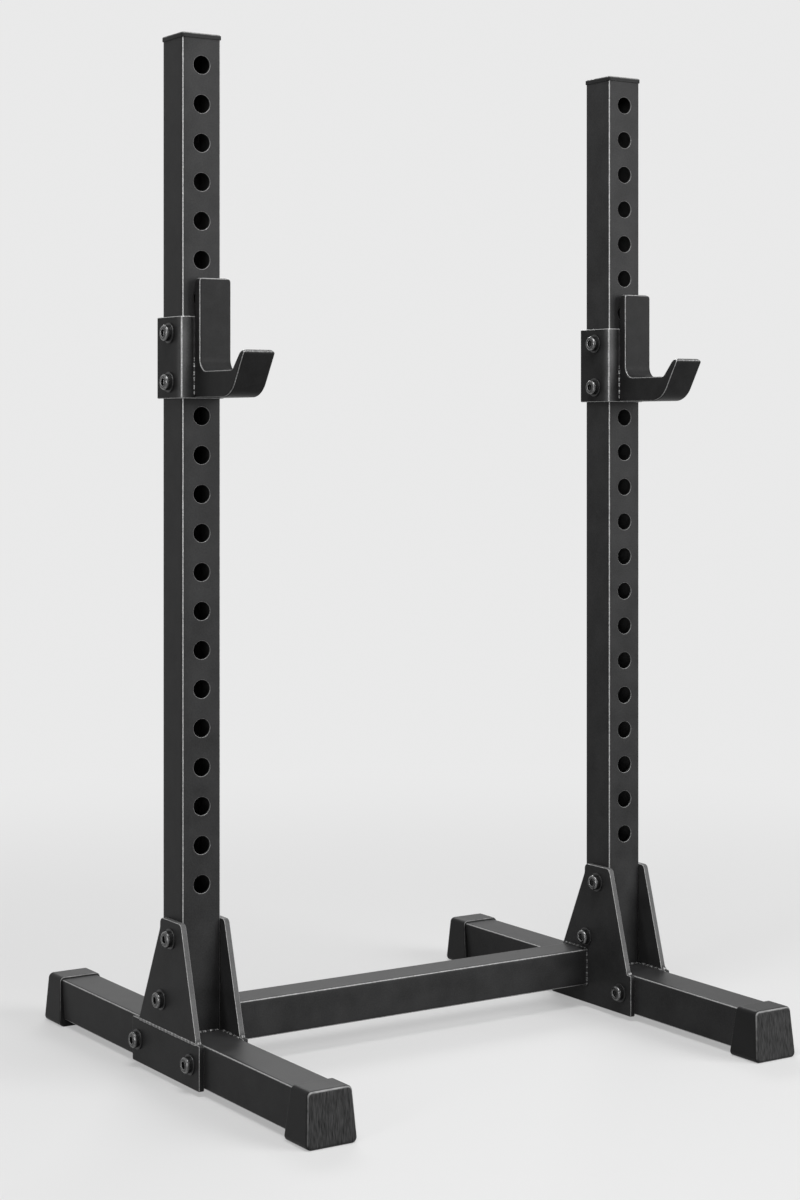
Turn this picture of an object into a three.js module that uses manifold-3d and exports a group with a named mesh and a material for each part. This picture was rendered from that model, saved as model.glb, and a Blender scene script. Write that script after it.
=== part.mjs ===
// Squat stand: two drilled uprights on skid-type base tubes, joined by a low cross tube,
// each with a height-adjustable hook that carries one end of a barbell.
// Millimetres, +Z up. X runs along the cross tube, the hooks reach towards -Y,
// and the origin is on the floor in the middle of the footprint.

import * as THREE from 'three';
import { mergeVertices } from 'three/addons/utils/BufferGeometryUtils.js';
import Module from 'manifold-3d';

const wasm = await Module();
wasm.setup();

// Driving dimensions

const overrun = 5;
const seatGap = 0.3;

const tube = { width: 75, wall: 3, bend: 5, innerBend: 2 };

const stand = {
  spacing: 930,
  uprightHeight: 1720,
  frontReach: 375,
  rearReach: 415,
};

const adjust = { pitch: 67.5, radius: 16, topMargin: 46, lowMargin: 40 };

const cap = { flange: 9, overhang: 1.5, chamfer: 2, plugDepth: 22, plugPlay: 0.5, plugWall: 3 };

const boot = {
  sole: 12,
  topWall: 4,
  sideWall: 4,
  endWall: 10,
  cover: 52,
  sideFlare: 6,
  outerFlare: 9,
  innerFlare: 14,
  corner: 5,
  crown: 2.5,
  play: 0.3,
};

const gusset = {
  thickness: 10,
  height: 194,
  frontLip: 12,
  rearInset: 9.5,
  shoulder: 18,
  frontFoot: 68,
  rearFoot: 72,
  frontStep: 11,
  rearStep: 25,
  drop: 3,
  skirtCorner: 3,
  corner: 10,
};

const hardware = {
  shankRadius: 9,
  holePlay: 0.5,
  headRadius: 14.2,
  headHeight: 11,
  headChamfer: 2,
  socketFlat: 14,
  socketDepth: 6,
  washerRadius: 17.7,
  washerThickness: 3,
  nutFlat: 27,
  nutHeight: 12,
  nutPlay: 0.3,
};

const boltPlan = { topDrop: 31, topFront: 12, lowLift: 51, lowRear: 22.5, frontFoot: 84, rearFoot: 113 };

const crossTube = { size: 70, wall: 3, bend: 5, innerBend: 2, rearOffset: 55, lift: 27 };

const bead = { cross: 4, crossToe: 1.3, hook: 4 };

const bracket = { height: 142, plate: 5, play: 1, rearLip: 7.5, bend: 6, innerBend: 2, belowPeg: 104.75 };

const arm = {
  left: 17.5,
  overhang: 1,
  padThickness: 18.5,
  padRise: 66,
  padCorner: 4,
  bottomLift: 1,
  floorThickness: 46,
  floorFillet: 22,
  floorLength: 113,
  lipRise: 33,
  lipLean: 30,
  lipTop: 14,
  lipCorner: 5,
  lipFootRadius: 10,
  undersideReach: 128,
  heelRadius: 48,
  edge: 2.5,
};

const peg = { play: 1, tipReach: 10, tipChamfer: 3 };

const clampScrew = { spacing: 85, tipGap: 0.3 };

// Counts: the hole that holds the pictured hook, from 0 at the top, and facets

const hookHoleIndex = 7;
const facets = {
  adjustHoleCount: 14,
  roundCount: 12,
  hexagonCount: 6,
  tubeBendCount: 2,
  innerBendCount: 1,
  outlineCount: 2,
  cornerCount: 3,
  edgeCount: 2,
};

// Derived places

const half = tube.width / 2;
const uprightY = (stand.frontReach - stand.rearReach) / 2;
const baseBottom = boot.sole;
const baseTop = baseBottom + tube.width;
const uprightTop = baseTop + stand.uprightHeight;
const baseHalfReach = half + (stand.frontReach + stand.rearReach) / 2;
const baseHalfLength = baseHalfReach + boot.cover - boot.endWall;
const gussetTop = baseTop + gusset.height;
const gussetFace = half + gusset.thickness;
const topHole = uprightTop - adjust.topMargin;
const holeSpan = topHole - gussetTop - adjust.lowMargin;
const holeCount = Math.floor(holeSpan / adjust.pitch) + 1;
const pegHeight = topHole - hookHoleIndex * adjust.pitch;
const bracketInner = half + bracket.play;
const bracketOuter = bracketInner + bracket.plate;
const bracketBottom = pegHeight - bracket.belowPeg;
const bracketTop = bracketBottom + bracket.height;
const armRight = bracketOuter + arm.overhang;
const sides = [
  { name: 'left', centre: -stand.spacing / 2, outward: -1 },
  { name: 'right', centre: stand.spacing / 2, outward: 1 },
];

// Materials

const finish = (color, roughness, metalness) =>
  new THREE.MeshStandardMaterial({ color, roughness, metalness });
const frameCoat = finish(0x3a3b3d, 0.55, 0.4);
const hookCoat = finish(0x3f4043, 0.5, 0.45);
const weldCoat = finish(0x55565a, 0.5, 0.5);
const rubber = finish(0x1b1c1e, 0.9, 0);
const capPlastic = finish(0x16171a, 0.6, 0);
const blackSteel = finish(0x222326, 0.35, 0.8);
const zincSteel = finish(0x5a5c60, 0.35, 0.9);

// Solids and their joins and cuts

function solidOf(geometry) {
  const bare = geometry.index ? geometry.toNonIndexed() : geometry.clone();
  bare.deleteAttribute('normal');
  bare.deleteAttribute('uv');
  const merged = mergeVertices(bare);
  const source = new wasm.Mesh({
    numProp: 3,
    vertProperties: merged.attributes.position.array,
    triVerts: new Uint32Array(merged.index.array),
  });
  return new wasm.Manifold(source);
}

function geometryOf(solid) {
  const mesh = solid.getMesh();
  const geometry = new THREE.BufferGeometry();
  geometry.setAttribute('position', new THREE.BufferAttribute(mesh.vertProperties, 3));
  geometry.setIndex(new THREE.BufferAttribute(mesh.triVerts, 1));
  geometry.computeVertexNormals();
  return geometry;
}

function cut(geometry, cutters) {
  let solid = solidOf(geometry);
  for (const cutter of cutters) {
    solid = solid.subtract(solidOf(cutter));
  }
  return geometryOf(solid);
}

function join(first, second) {
  return geometryOf(solidOf(first).add(solidOf(second)));
}

// Turns that carry a shape drawn in x and y, extruded along z, onto the object's axes

const alongX = new THREE.Matrix4().makeBasis(
  new THREE.Vector3(0, 1, 0),
  new THREE.Vector3(0, 0, 1),
  new THREE.Vector3(1, 0, 0),
);
const alongY = new THREE.Matrix4().makeBasis(
  new THREE.Vector3(0, 0, 1),
  new THREE.Vector3(1, 0, 0),
  new THREE.Vector3(0, 1, 0),
);

// A closed outline drawn anticlockwise, each corner rounded by its own radius
function roundedOutline(corners) {
  const shape = new THREE.Shape();
  const count = corners.length;
  corners.forEach((corner, index) => {
    const here = new THREE.Vector2(corner.x, corner.y);
    const before = corners[(index + count - 1) % count];
    const after = corners[(index + 1) % count];
    const toBefore = new THREE.Vector2(before.x, before.y).sub(here).normalize();
    const toAfter = new THREE.Vector2(after.x, after.y).sub(here).normalize();
    const draw = index === 0 ? 'moveTo' : 'lineTo';
    if (!corner.r) {
      shape[draw](here.x, here.y);
      return;
    }
    const halfAngle = Math.acos(toBefore.dot(toAfter)) / 2;
    const start = here.clone().addScaledVector(toBefore, corner.r / Math.tan(halfAngle));
    const end = here.clone().addScaledVector(toAfter, corner.r / Math.tan(halfAngle));
    const inward = toBefore.clone().add(toAfter).normalize();
    const middle = here.clone().addScaledVector(inward, corner.r / Math.sin(halfAngle));
    const startAngle = start.clone().sub(middle).angle();
    const endAngle = end.clone().sub(middle).angle();
    const clockwise = toAfter.cross(toBefore) < 0;
    shape[draw](start.x, start.y);
    shape.absarc(middle.x, middle.y, corner.r, startAngle, endAngle, clockwise);
  });
  shape.closePath();
  return shape;
}

function rectangle(halfX, halfY, radius) {
  return roundedOutline([
    { x: -halfX, y: -halfY, r: radius },
    { x: halfX, y: -halfY, r: radius },
    { x: halfX, y: halfY, r: radius },
    { x: -halfX, y: halfY, r: radius },
  ]);
}

function extruded(shape, depth, segments) {
  return new THREE.ExtrudeGeometry(shape, { depth, bevelEnabled: false, curveSegments: segments });
}

// A square tube with rounded bends, standing on the plane z = 0
function squareTube(width, wall, bend, innerBend, length) {
  const inner = width / 2 - wall;
  const outside = extruded(rectangle(width / 2, width / 2, bend), length, facets.tubeBendCount);
  const inside = extruded(rectangle(inner, inner, innerBend), length + 2 * overrun, facets.innerBendCount);
  inside.translate(0, 0, -overrun);
  return cut(outside, [inside]);
}

// A round bar along z, centred on the origin
function roundBar(radius, length, segments) {
  const bar = new THREE.CylinderGeometry(radius, radius, length, segments);
  bar.rotateX(Math.PI / 2);
  return bar;
}

function barAlongX(radius, length, segments) {
  return roundBar(radius, length, segments).applyMatrix4(alongX);
}

function barAlongY(radius, length, segments) {
  return roundBar(radius, length, segments).applyMatrix4(alongY);
}

// A turned piece on the x axis, from a closed list of [radius, x] pairs that rises along x
function turned(profile) {
  const points = profile.map(([radius, x]) => new THREE.Vector2(radius, x));
  const geometry = new THREE.LatheGeometry(points, facets.roundCount);
  geometry.rotateZ(-Math.PI / 2);
  return geometry;
}

// A closed loft through level sections, each a rounded rectangle, from the lowest to the highest
function loft(sections) {
  const rings = sections.map((section) => {
    const shape = rectangle(section.halfX, section.halfY, section.r);
    const points = shape.extractPoints(facets.outlineCount).shape;
    const open = points[0].equals(points[points.length - 1]) ? points.slice(0, -1) : points;
    return open.map((point) => [point.x, point.y + section.shiftY, section.z]);
  });
  const size = rings[0].length;
  const positions = rings.flat(2);
  const indices = [];
  rings.slice(1).forEach((ring, level) => {
    for (let step = 0; step < size; step += 1) {
      const low = level * size + step;
      const lowNext = level * size + ((step + 1) % size);
      indices.push(low, lowNext, lowNext + size, low, lowNext + size, low + size);
    }
  });
  const lid = (rings.length - 1) * size;
  for (let step = 1; step < size - 1; step += 1) {
    indices.push(0, step + 1, step);
    indices.push(lid, lid + step, lid + step + 1);
  }
  const geometry = new THREE.BufferGeometry();
  geometry.setAttribute('position', new THREE.Float32BufferAttribute(positions, 3));
  geometry.setIndex(indices);
  geometry.computeVertexNormals();
  return geometry;
}

// A socket screw along x, its head towards -X and the head's underside at x = 0
function socketScrew(shankLength) {
  const { headRadius, headHeight, headChamfer, shankRadius } = hardware;
  const body = turned([
    [0, -headHeight],
    [headRadius - headChamfer, -headHeight],
    [headRadius, headChamfer - headHeight],
    [headRadius, 0],
    [shankRadius, 0],
    [shankRadius, shankLength],
    [0, shankLength],
  ]);
  const socketRadius = hardware.socketFlat / Math.sqrt(3);
  const socketLength = hardware.socketDepth + overrun;
  const socket = barAlongX(socketRadius, socketLength, facets.hexagonCount);
  socket.translate(hardware.socketDepth - headHeight - socketLength / 2, 0, 0);
  return cut(body, [socket]);
}

// A washer from x = 0 towards +X
function washer() {
  const bore = hardware.shankRadius + hardware.holePlay;
  return turned([
    [bore, 0],
    [hardware.washerRadius, 0],
    [hardware.washerRadius, hardware.washerThickness],
    [bore, hardware.washerThickness],
    [bore, 0],
  ]);
}

// A flanged hexagon nut from x = 0 towards +X
function flangeNut() {
  const flange = turned([
    [0, 0],
    [hardware.washerRadius, 0],
    [hardware.washerRadius, hardware.washerThickness],
    [0, hardware.washerThickness],
  ]);
  const hexagon = barAlongX(hardware.nutFlat / Math.sqrt(3), hardware.nutHeight, facets.hexagonCount);
  hexagon.translate(hardware.nutHeight / 2, 0, 0);
  const boreLength = 2 * (hardware.nutHeight + overrun);
  const bore = barAlongX(hardware.shankRadius + hardware.nutPlay, boreLength, facets.roundCount);
  return cut(join(flange, hexagon), [bore]);
}

// A convex weld bead in the corner of +x and +y
function beadSection(leg) {
  const shape = new THREE.Shape();
  shape.moveTo(0, 0);
  shape.lineTo(leg, 0);
  shape.absarc(0, 0, leg, 0, Math.PI / 2, false);
  shape.closePath();
  return shape;
}

// The four bolts that clamp the gusset plates, each with its y from the upright's centre and its height
const bolts = [
  { name: 'upper', y: -boltPlan.topFront, z: gussetTop - boltPlan.topDrop },
  { name: 'middle', y: boltPlan.lowRear, z: baseTop + boltPlan.lowLift },
  { name: 'front', y: -boltPlan.frontFoot, z: baseBottom + half },
  { name: 'rear', y: boltPlan.rearFoot, z: baseBottom + half },
];

// Cutters for bolts, from one place along x to another
function boltHoles(places, fromX, toX) {
  const radius = hardware.shankRadius + hardware.holePlay;
  return places.map(({ y, z }) => {
    const hole = barAlongX(radius, toX - fromX, facets.roundCount);
    return hole.translate((fromX + toX) / 2, uprightY + y, z);
  });
}

const squatStand = new THREE.Group();

function addPiece(name, geometry, material) {
  const mesh = new THREE.Mesh(geometry, material.clone());
  mesh.name = name;
  squatStand.add(mesh);
}

// Frame pieces of one side, drawn about x = 0

function uprightTube() {
  const post = squareTube(tube.width, tube.wall, tube.bend, tube.innerBend, stand.uprightHeight);
  post.translate(0, uprightY, baseTop);
  const holes = [];
  for (let index = 0; index < holeCount; index += 1) {
    const hole = barAlongY(adjust.radius, tube.width + 2 * overrun, facets.adjustHoleCount);
    holes.push(hole.translate(0, uprightY, topHole - index * adjust.pitch));
  }
  const sideHoles = boltHoles(bolts.slice(0, 2), -half - overrun, half + overrun);
  return cut(post, [...holes, ...sideHoles]);
}

function topCap() {
  const outer = half + cap.overhang;
  const chamfered = outer - cap.chamfer;
  const flange = loft([
    { halfX: outer, halfY: outer, r: tube.bend, z: 0, shiftY: 0 },
    { halfX: outer, halfY: outer, r: tube.bend, z: cap.flange - cap.chamfer, shiftY: 0 },
    { halfX: chamfered, halfY: chamfered, r: tube.bend, z: cap.flange, shiftY: 0 },
  ]);
  const plugHalf = half - tube.wall - cap.plugPlay;
  const plugShape = rectangle(plugHalf, plugHalf, tube.bend);
  const plug = extruded(plugShape, cap.plugDepth + cap.chamfer, facets.tubeBendCount);
  plug.translate(0, 0, -cap.plugDepth);
  const hollowHalf = plugHalf - cap.plugWall;
  const hollowShape = rectangle(hollowHalf, hollowHalf, tube.innerBend);
  const hollow = extruded(hollowShape, cap.plugDepth + overrun, facets.innerBendCount);
  hollow.translate(0, 0, -cap.plugDepth - overrun);
  return cut(join(flange, plug), [hollow]).translate(0, uprightY, uprightTop);
}

function baseTube() {
  const rail = squareTube(tube.width, tube.wall, tube.bend, tube.innerBend, 2 * baseHalfLength);
  rail.translate(0, 0, -baseHalfLength).applyMatrix4(alongY);
  rail.translate(0, 0, baseBottom + half);
  return cut(rail, boltHoles(bolts.slice(2), -half - overrun, half + overrun));
}

// A rubber boot on a base tube's end, seen with its outer end towards +Y
function footBoot() {
  const top = baseTop + boot.topWall;
  const topHalfX = half + boot.sideWall;
  const section = (share, inset, z) => {
    const inner = baseHalfReach - boot.innerFlare * share + inset;
    const outer = baseHalfReach + boot.cover + boot.outerFlare * share - inset;
    const halfX = topHalfX + boot.sideFlare * share - inset;
    return { halfX, halfY: (outer - inner) / 2, r: boot.corner, z, shiftY: (outer + inner) / 2 };
  };
  const shell = loft([
    section(1, 0, 0),
    section(0, 0, top - boot.crown),
    section(0, boot.crown, top),
  ]);
  const socketHalf = half + boot.play;
  const socketLength = 2 * (baseHalfLength + boot.play);
  const socket = extruded(rectangle(socketHalf, socketHalf, tube.bend), socketLength, facets.tubeBendCount);
  socket.translate(0, 0, -socketLength / 2).applyMatrix4(alongY);
  socket.translate(0, 0, baseBottom + half);
  return cut(shell, [socket]);
}

// Gusset outlines are drawn as x for the distance behind the upright's centre, y for height

const gussetFoot = { front: -half - gusset.frontFoot, rear: half + gusset.rearFoot };
const gussetHead = { front: -half - gusset.frontLip, rear: half - gusset.rearInset };
const sidePlate = {
  front: gussetFoot.front - gusset.frontStep,
  rear: gussetFoot.rear + gusset.rearStep,
  bottom: baseBottom - gusset.drop,
};

const gussetUpperCorners = [
  { x: gussetHead.rear, y: gussetTop - gusset.shoulder, r: 0 },
  { x: gussetHead.rear, y: gussetTop, r: gusset.corner },
  { x: gussetHead.front, y: gussetTop, r: gusset.corner },
];

function plateSolid(corners, centre) {
  const plate = extruded(roundedOutline(corners), gusset.thickness, facets.outlineCount);
  plate.applyMatrix4(alongX).translate(centre - gusset.thickness / 2, uprightY, 0);
  const holes = boltHoles(bolts, centre - gusset.thickness, centre + gusset.thickness);
  return cut(plate, holes);
}

const outerGussetCorners = [
  { x: gussetFoot.front, y: baseTop, r: 0 },
  { x: gussetFoot.rear, y: baseTop, r: 0 },
  ...gussetUpperCorners,
];

const outerSideCorners = [
  { x: sidePlate.front, y: sidePlate.bottom, r: gusset.skirtCorner },
  { x: sidePlate.rear, y: sidePlate.bottom, r: gusset.skirtCorner },
  { x: sidePlate.rear, y: baseTop, r: gusset.skirtCorner },
  { x: sidePlate.front, y: baseTop, r: gusset.skirtCorner },
];

const innerPlateCorners = [
  { x: sidePlate.front, y: sidePlate.bottom, r: gusset.skirtCorner },
  { x: sidePlate.rear, y: sidePlate.bottom, r: gusset.skirtCorner },
  { x: sidePlate.rear, y: baseTop, r: gusset.skirtCorner },
  { x: gussetFoot.rear, y: baseTop, r: 0 },
  ...gussetUpperCorners,
  { x: gussetFoot.front, y: baseTop, r: 0 },
  { x: sidePlate.front, y: baseTop, r: gusset.skirtCorner },
];

// Fasteners of the gusset plates, heads towards -X

const boltLength = 2 * (gussetFace + hardware.washerThickness) + hardware.headHeight;

function gussetBolt(place) {
  const seat = -gussetFace - hardware.washerThickness;
  return socketScrew(boltLength).translate(seat, uprightY + place.y, place.z);
}

function gussetWasher(place) {
  return washer().translate(-gussetFace - hardware.washerThickness, uprightY + place.y, place.z);
}

function gussetNut(place) {
  return flangeNut().translate(gussetFace, uprightY + place.y, place.z);
}

// Hook pieces of one side, drawn about x = 0

const bracketMiddle = (bracketBottom + bracketTop) / 2;
const clampScrews = [
  { name: 'upper', z: bracketMiddle + clampScrew.spacing / 2 },
  { name: 'lower', z: bracketMiddle - clampScrew.spacing / 2 },
];

function hookBracket() {
  const rear = half + bracket.rearLip;
  const sleeve = roundedOutline([
    { x: -bracketOuter, y: -bracketOuter, r: bracket.bend },
    { x: bracketOuter, y: -bracketOuter, r: bracket.bend },
    { x: bracketOuter, y: rear, r: 0 },
    { x: bracketInner, y: rear, r: 0 },
    { x: bracketInner, y: -bracketInner, r: bracket.innerBend },
    { x: -bracketInner, y: -bracketInner, r: bracket.innerBend },
    { x: -bracketInner, y: rear, r: 0 },
    { x: -bracketOuter, y: rear, r: 0 },
  ]);
  const body = extruded(sleeve, bracket.height, facets.outlineCount).translate(0, uprightY, bracketBottom);
  const radius = hardware.shankRadius + hardware.holePlay;
  const holes = clampScrews.map(({ z }) => {
    const hole = barAlongX(radius, bracket.plate + 2 * overrun, facets.roundCount);
    return hole.translate(-(bracketInner + bracketOuter) / 2, uprightY, z);
  });
  return cut(body, holes);
}

// The hook's side profile: x is the distance in front of the bracket, y is height
function hookArm() {
  const bottom = bracketBottom + arm.bottomLift;
  const floor = bottom + arm.floorThickness;
  const lipFoot = arm.padThickness + arm.floorLength;
  const lipHead = lipFoot + arm.lipLean;
  const profile = roundedOutline([
    { x: 0, y: bottom, r: 0 },
    { x: arm.undersideReach, y: bottom, r: arm.heelRadius },
    { x: lipHead + arm.lipTop, y: floor + arm.lipRise, r: arm.lipCorner },
    { x: lipHead, y: floor + arm.lipRise, r: arm.lipCorner },
    { x: lipFoot, y: floor, r: arm.lipFootRadius },
    { x: arm.padThickness, y: floor, r: arm.floorFillet },
    { x: arm.padThickness, y: bracketTop + arm.padRise, r: arm.padCorner },
    { x: 0, y: bracketTop + arm.padRise, r: arm.padCorner },
  ]);
  const width = armRight + arm.left;
  const solid = new THREE.ExtrudeGeometry(profile, {
    depth: width - 2 * arm.edge,
    curveSegments: facets.cornerCount,
    bevelEnabled: true,
    bevelThickness: arm.edge,
    bevelSize: arm.edge,
    bevelOffset: -arm.edge,
    bevelSegments: facets.edgeCount,
  });
  // x forward becomes -Y, y stays up, and the extrusion runs towards -X
  const facing = new THREE.Matrix4().makeBasis(
    new THREE.Vector3(0, -1, 0),
    new THREE.Vector3(0, 0, 1),
    new THREE.Vector3(-1, 0, 0),
  );
  solid.applyMatrix4(facing);
  solid.translate(armRight - arm.edge, uprightY - bracketOuter, 0);
  return geometryOf(solidOf(solid));
}

function hookPeg() {
  const radius = adjust.radius - peg.play;
  const length = bracketInner + half + peg.tipReach;
  const pin = turned([
    [0, 0],
    [radius, 0],
    [radius, length - peg.tipChamfer],
    [radius - peg.tipChamfer, length],
    [0, length],
  ]);
  return pin.rotateZ(Math.PI / 2).translate(0, uprightY - bracketInner, pegHeight);
}

// The bead in the corner between the bracket's front and the arm's left face
function hookWeld() {
  const length = bracket.height - arm.bottomLift - 2 * arm.edge;
  const facing = new THREE.Matrix4().makeBasis(
    new THREE.Vector3(-1, 0, 0),
    new THREE.Vector3(0, -1, 0),
    new THREE.Vector3(0, 0, 1),
  );
  const strip = extruded(beadSection(bead.hook), length, facets.outlineCount).applyMatrix4(facing);
  return strip.translate(-arm.left, uprightY - bracketOuter, bracketTop - length);
}

function hookClampScrew(place) {
  const seat = -bracketOuter - hardware.washerThickness;
  const length = -half - clampScrew.tipGap - seat;
  return socketScrew(length).translate(seat, uprightY, place.z);
}

function hookClampWasher(place) {
  return washer().translate(-bracketOuter - hardware.washerThickness, uprightY, place.z);
}

// The cross tube between the inner plates, and the weld bead round each of its ends

const crossHalfLength = stand.spacing / 2 - gussetFace;
const crossCentre = {
  y: uprightY + crossTube.rearOffset,
  z: baseTop + crossTube.lift - crossTube.size / 2,
};

function crossTubeBody() {
  const { size, wall, bend, innerBend } = crossTube;
  const rail = squareTube(size, wall, bend, innerBend, 2 * crossHalfLength);
  rail.translate(0, 0, -crossHalfLength).applyMatrix4(alongX);
  return rail.translate(0, crossCentre.y, crossCentre.z);
}

function crossWeld(side) {
  const inner = crossTube.size / 2 + seatGap;
  const outer = inner + bead.cross;
  const toe = inner + bead.crossToe;
  const block = loft([
    { halfX: outer, halfY: outer, r: crossTube.bend + bead.cross, z: 0, shiftY: 0 },
    { halfX: toe, halfY: toe, r: crossTube.bend, z: bead.cross, shiftY: 0 },
  ]);
  const opening = rectangle(inner, inner, crossTube.bend);
  const window = extruded(opening, bead.cross + 2 * overrun, facets.outlineCount);
  window.translate(0, 0, -overrun);
  const ring = cut(block, [window]).applyMatrix4(alongX);
  if (side > 0) {
    ring.rotateZ(Math.PI);
  }
  return ring.translate(side * crossHalfLength, crossCentre.y, crossCentre.z);
}

// Assembly

for (const side of sides) {
  const place = (geometry) => geometry.translate(side.centre, 0, 0);
  const label = (piece) => `${side.name}_${piece}`;
  const outerCentre = (side.outward * (half + gussetFace)) / 2;

  addPiece(label('upright'), place(uprightTube()), frameCoat);
  addPiece(label('top_cap'), place(topCap()), capPlastic);
  addPiece(label('base_tube'), place(baseTube()), frameCoat);
  addPiece(label('rear_boot'), place(footBoot()), rubber);
  addPiece(label('front_boot'), place(footBoot().rotateZ(Math.PI)), rubber);
  addPiece(label('outer_gusset_plate'), place(plateSolid(outerGussetCorners, outerCentre)), frameCoat);
  addPiece(label('outer_side_plate'), place(plateSolid(outerSideCorners, outerCentre)), frameCoat);
  addPiece(label('inner_gusset_plate'), place(plateSolid(innerPlateCorners, -outerCentre)), frameCoat);
  for (const bolt of bolts) {
    addPiece(label(`${bolt.name}_gusset_bolt`), place(gussetBolt(bolt)), blackSteel);
    addPiece(label(`${bolt.name}_gusset_washer`), place(gussetWasher(bolt)), zincSteel);
    addPiece(label(`${bolt.name}_gusset_nut`), place(gussetNut(bolt)), zincSteel);
  }
  addPiece(label('hook_bracket'), place(hookBracket()), hookCoat);
  addPiece(label('hook_arm'), place(hookArm()), hookCoat);
  addPiece(label('hook_peg'), place(hookPeg()), blackSteel);
  addPiece(label('hook_weld'), place(hookWeld()), weldCoat);
  for (const screw of clampScrews) {
    addPiece(label(`${screw.name}_clamp_screw`), place(hookClampScrew(screw)), blackSteel);
    addPiece(label(`${screw.name}_clamp_washer`), place(hookClampWasher(screw)), zincSteel);
  }
  addPiece(label('cross_tube_weld'), crossWeld(side.outward), weldCoat);
}

addPiece('cross_tube', crossTubeBody(), frameCoat);

export default squatStand;
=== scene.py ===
"""Fine surfaces, finishes, stage, light and camera of a squat stand, worked out round its frame.

Everything is in metres, +Z up. X runs along the cross rail, and the hooks reach towards -Y.
"""

import logging
import math
from dataclasses import dataclass, field
from enum import Enum
from functools import cache
from typing import Callable, ClassVar, Sequence

import bmesh
import bpy
import numpy as np
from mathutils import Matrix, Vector
from mathutils.geometry import delaunay_2d_cdt


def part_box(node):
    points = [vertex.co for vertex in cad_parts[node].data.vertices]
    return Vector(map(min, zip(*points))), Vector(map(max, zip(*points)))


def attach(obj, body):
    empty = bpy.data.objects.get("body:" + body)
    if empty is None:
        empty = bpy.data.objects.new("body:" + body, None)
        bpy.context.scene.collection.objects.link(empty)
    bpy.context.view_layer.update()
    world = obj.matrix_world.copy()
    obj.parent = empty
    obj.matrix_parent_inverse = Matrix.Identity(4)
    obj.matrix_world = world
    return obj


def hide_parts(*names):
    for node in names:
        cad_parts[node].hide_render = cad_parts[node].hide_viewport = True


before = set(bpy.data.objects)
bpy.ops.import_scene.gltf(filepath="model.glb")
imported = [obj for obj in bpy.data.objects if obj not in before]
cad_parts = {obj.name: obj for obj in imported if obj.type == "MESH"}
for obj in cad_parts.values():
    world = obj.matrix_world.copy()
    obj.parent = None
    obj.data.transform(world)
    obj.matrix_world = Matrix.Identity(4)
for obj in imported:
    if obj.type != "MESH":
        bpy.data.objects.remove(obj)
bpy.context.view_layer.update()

Array = np.ndarray
Row = Sequence[float]
Table = Sequence[Row]
Socket = bpy.types.NodeSocket
log = logging.getLogger("squat_stand")

SIDES = ("left", "right")
WELD_SLACK = 2e-6
SHARP_ANGLE = math.radians(38)
HALF_TURN = math.pi
QUARTER_TURN = math.pi / 2
FULL_TURN = 2 * math.pi
CORNER_STEPS = 8
FILL_INSIDE = 1
FILL_SLACK = 1e-7
ROUND_STEPS = 48
ORIGIN = (0.0, 0.0, 0.0)


class Lie(Enum):
    """How a piece's own u, v and w axes lie in the stand: one row for each of them."""

    ALONG_X = ((0, 1, 0), (0, 0, 1), (1, 0, 0))
    ALONG_Y = ((0, 0, 1), (1, 0, 0), (0, 1, 0))
    ALONG_Z = ((1, 0, 0), (0, 1, 0), (0, 0, 1))

    def place(self, points: Array, origin: Row) -> Array:
        """Carries points from a piece's own axes to the stand's.

        Args:
            points: The points, with u, v and w in their last axis.
            origin: Where u = v = w = 0 lies in the stand.

        Returns:
            The points in the stand's axes.
        """
        return points @ np.array(self.value, float) + np.asarray(origin, float)


class Slot(Enum):
    """The record's material slots."""

    FRAME = "frame_coat"
    HOOK = "hook_coat"
    BEAD = "weld_bead"
    BOOT = "boot_rubber"
    CAP = "cap_plastic"
    SCREW = "black_screw"
    WASHER = "dark_washer"
    PEG = "peg_steel"


@dataclass(frozen=True)
class Box:
    """A node's corners at rest."""

    low: Vector
    high: Vector

    @classmethod
    def of(cls, node: str) -> "Box":
        """Reads the corners of a node of the frame."""
        return cls(*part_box(node))

    @property
    def centre(self) -> Vector:
        """The middle of the box."""
        return (self.low + self.high) / 2

    @property
    def size(self) -> Vector:
        """The lengths of the box's sides."""
        return self.high - self.low


def add_object(name: str, data: bpy.types.ID) -> bpy.types.Object:
    """Adds an object to the scene, made from a mesh, a lamp or a camera.

    Args:
        name: The object's name.
        data: What it is made from.

    Returns:
        The new object.
    """
    made = bpy.data.objects.new(name, data)
    bpy.context.scene.collection.objects.link(made)
    return made


# Surfaces


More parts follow.
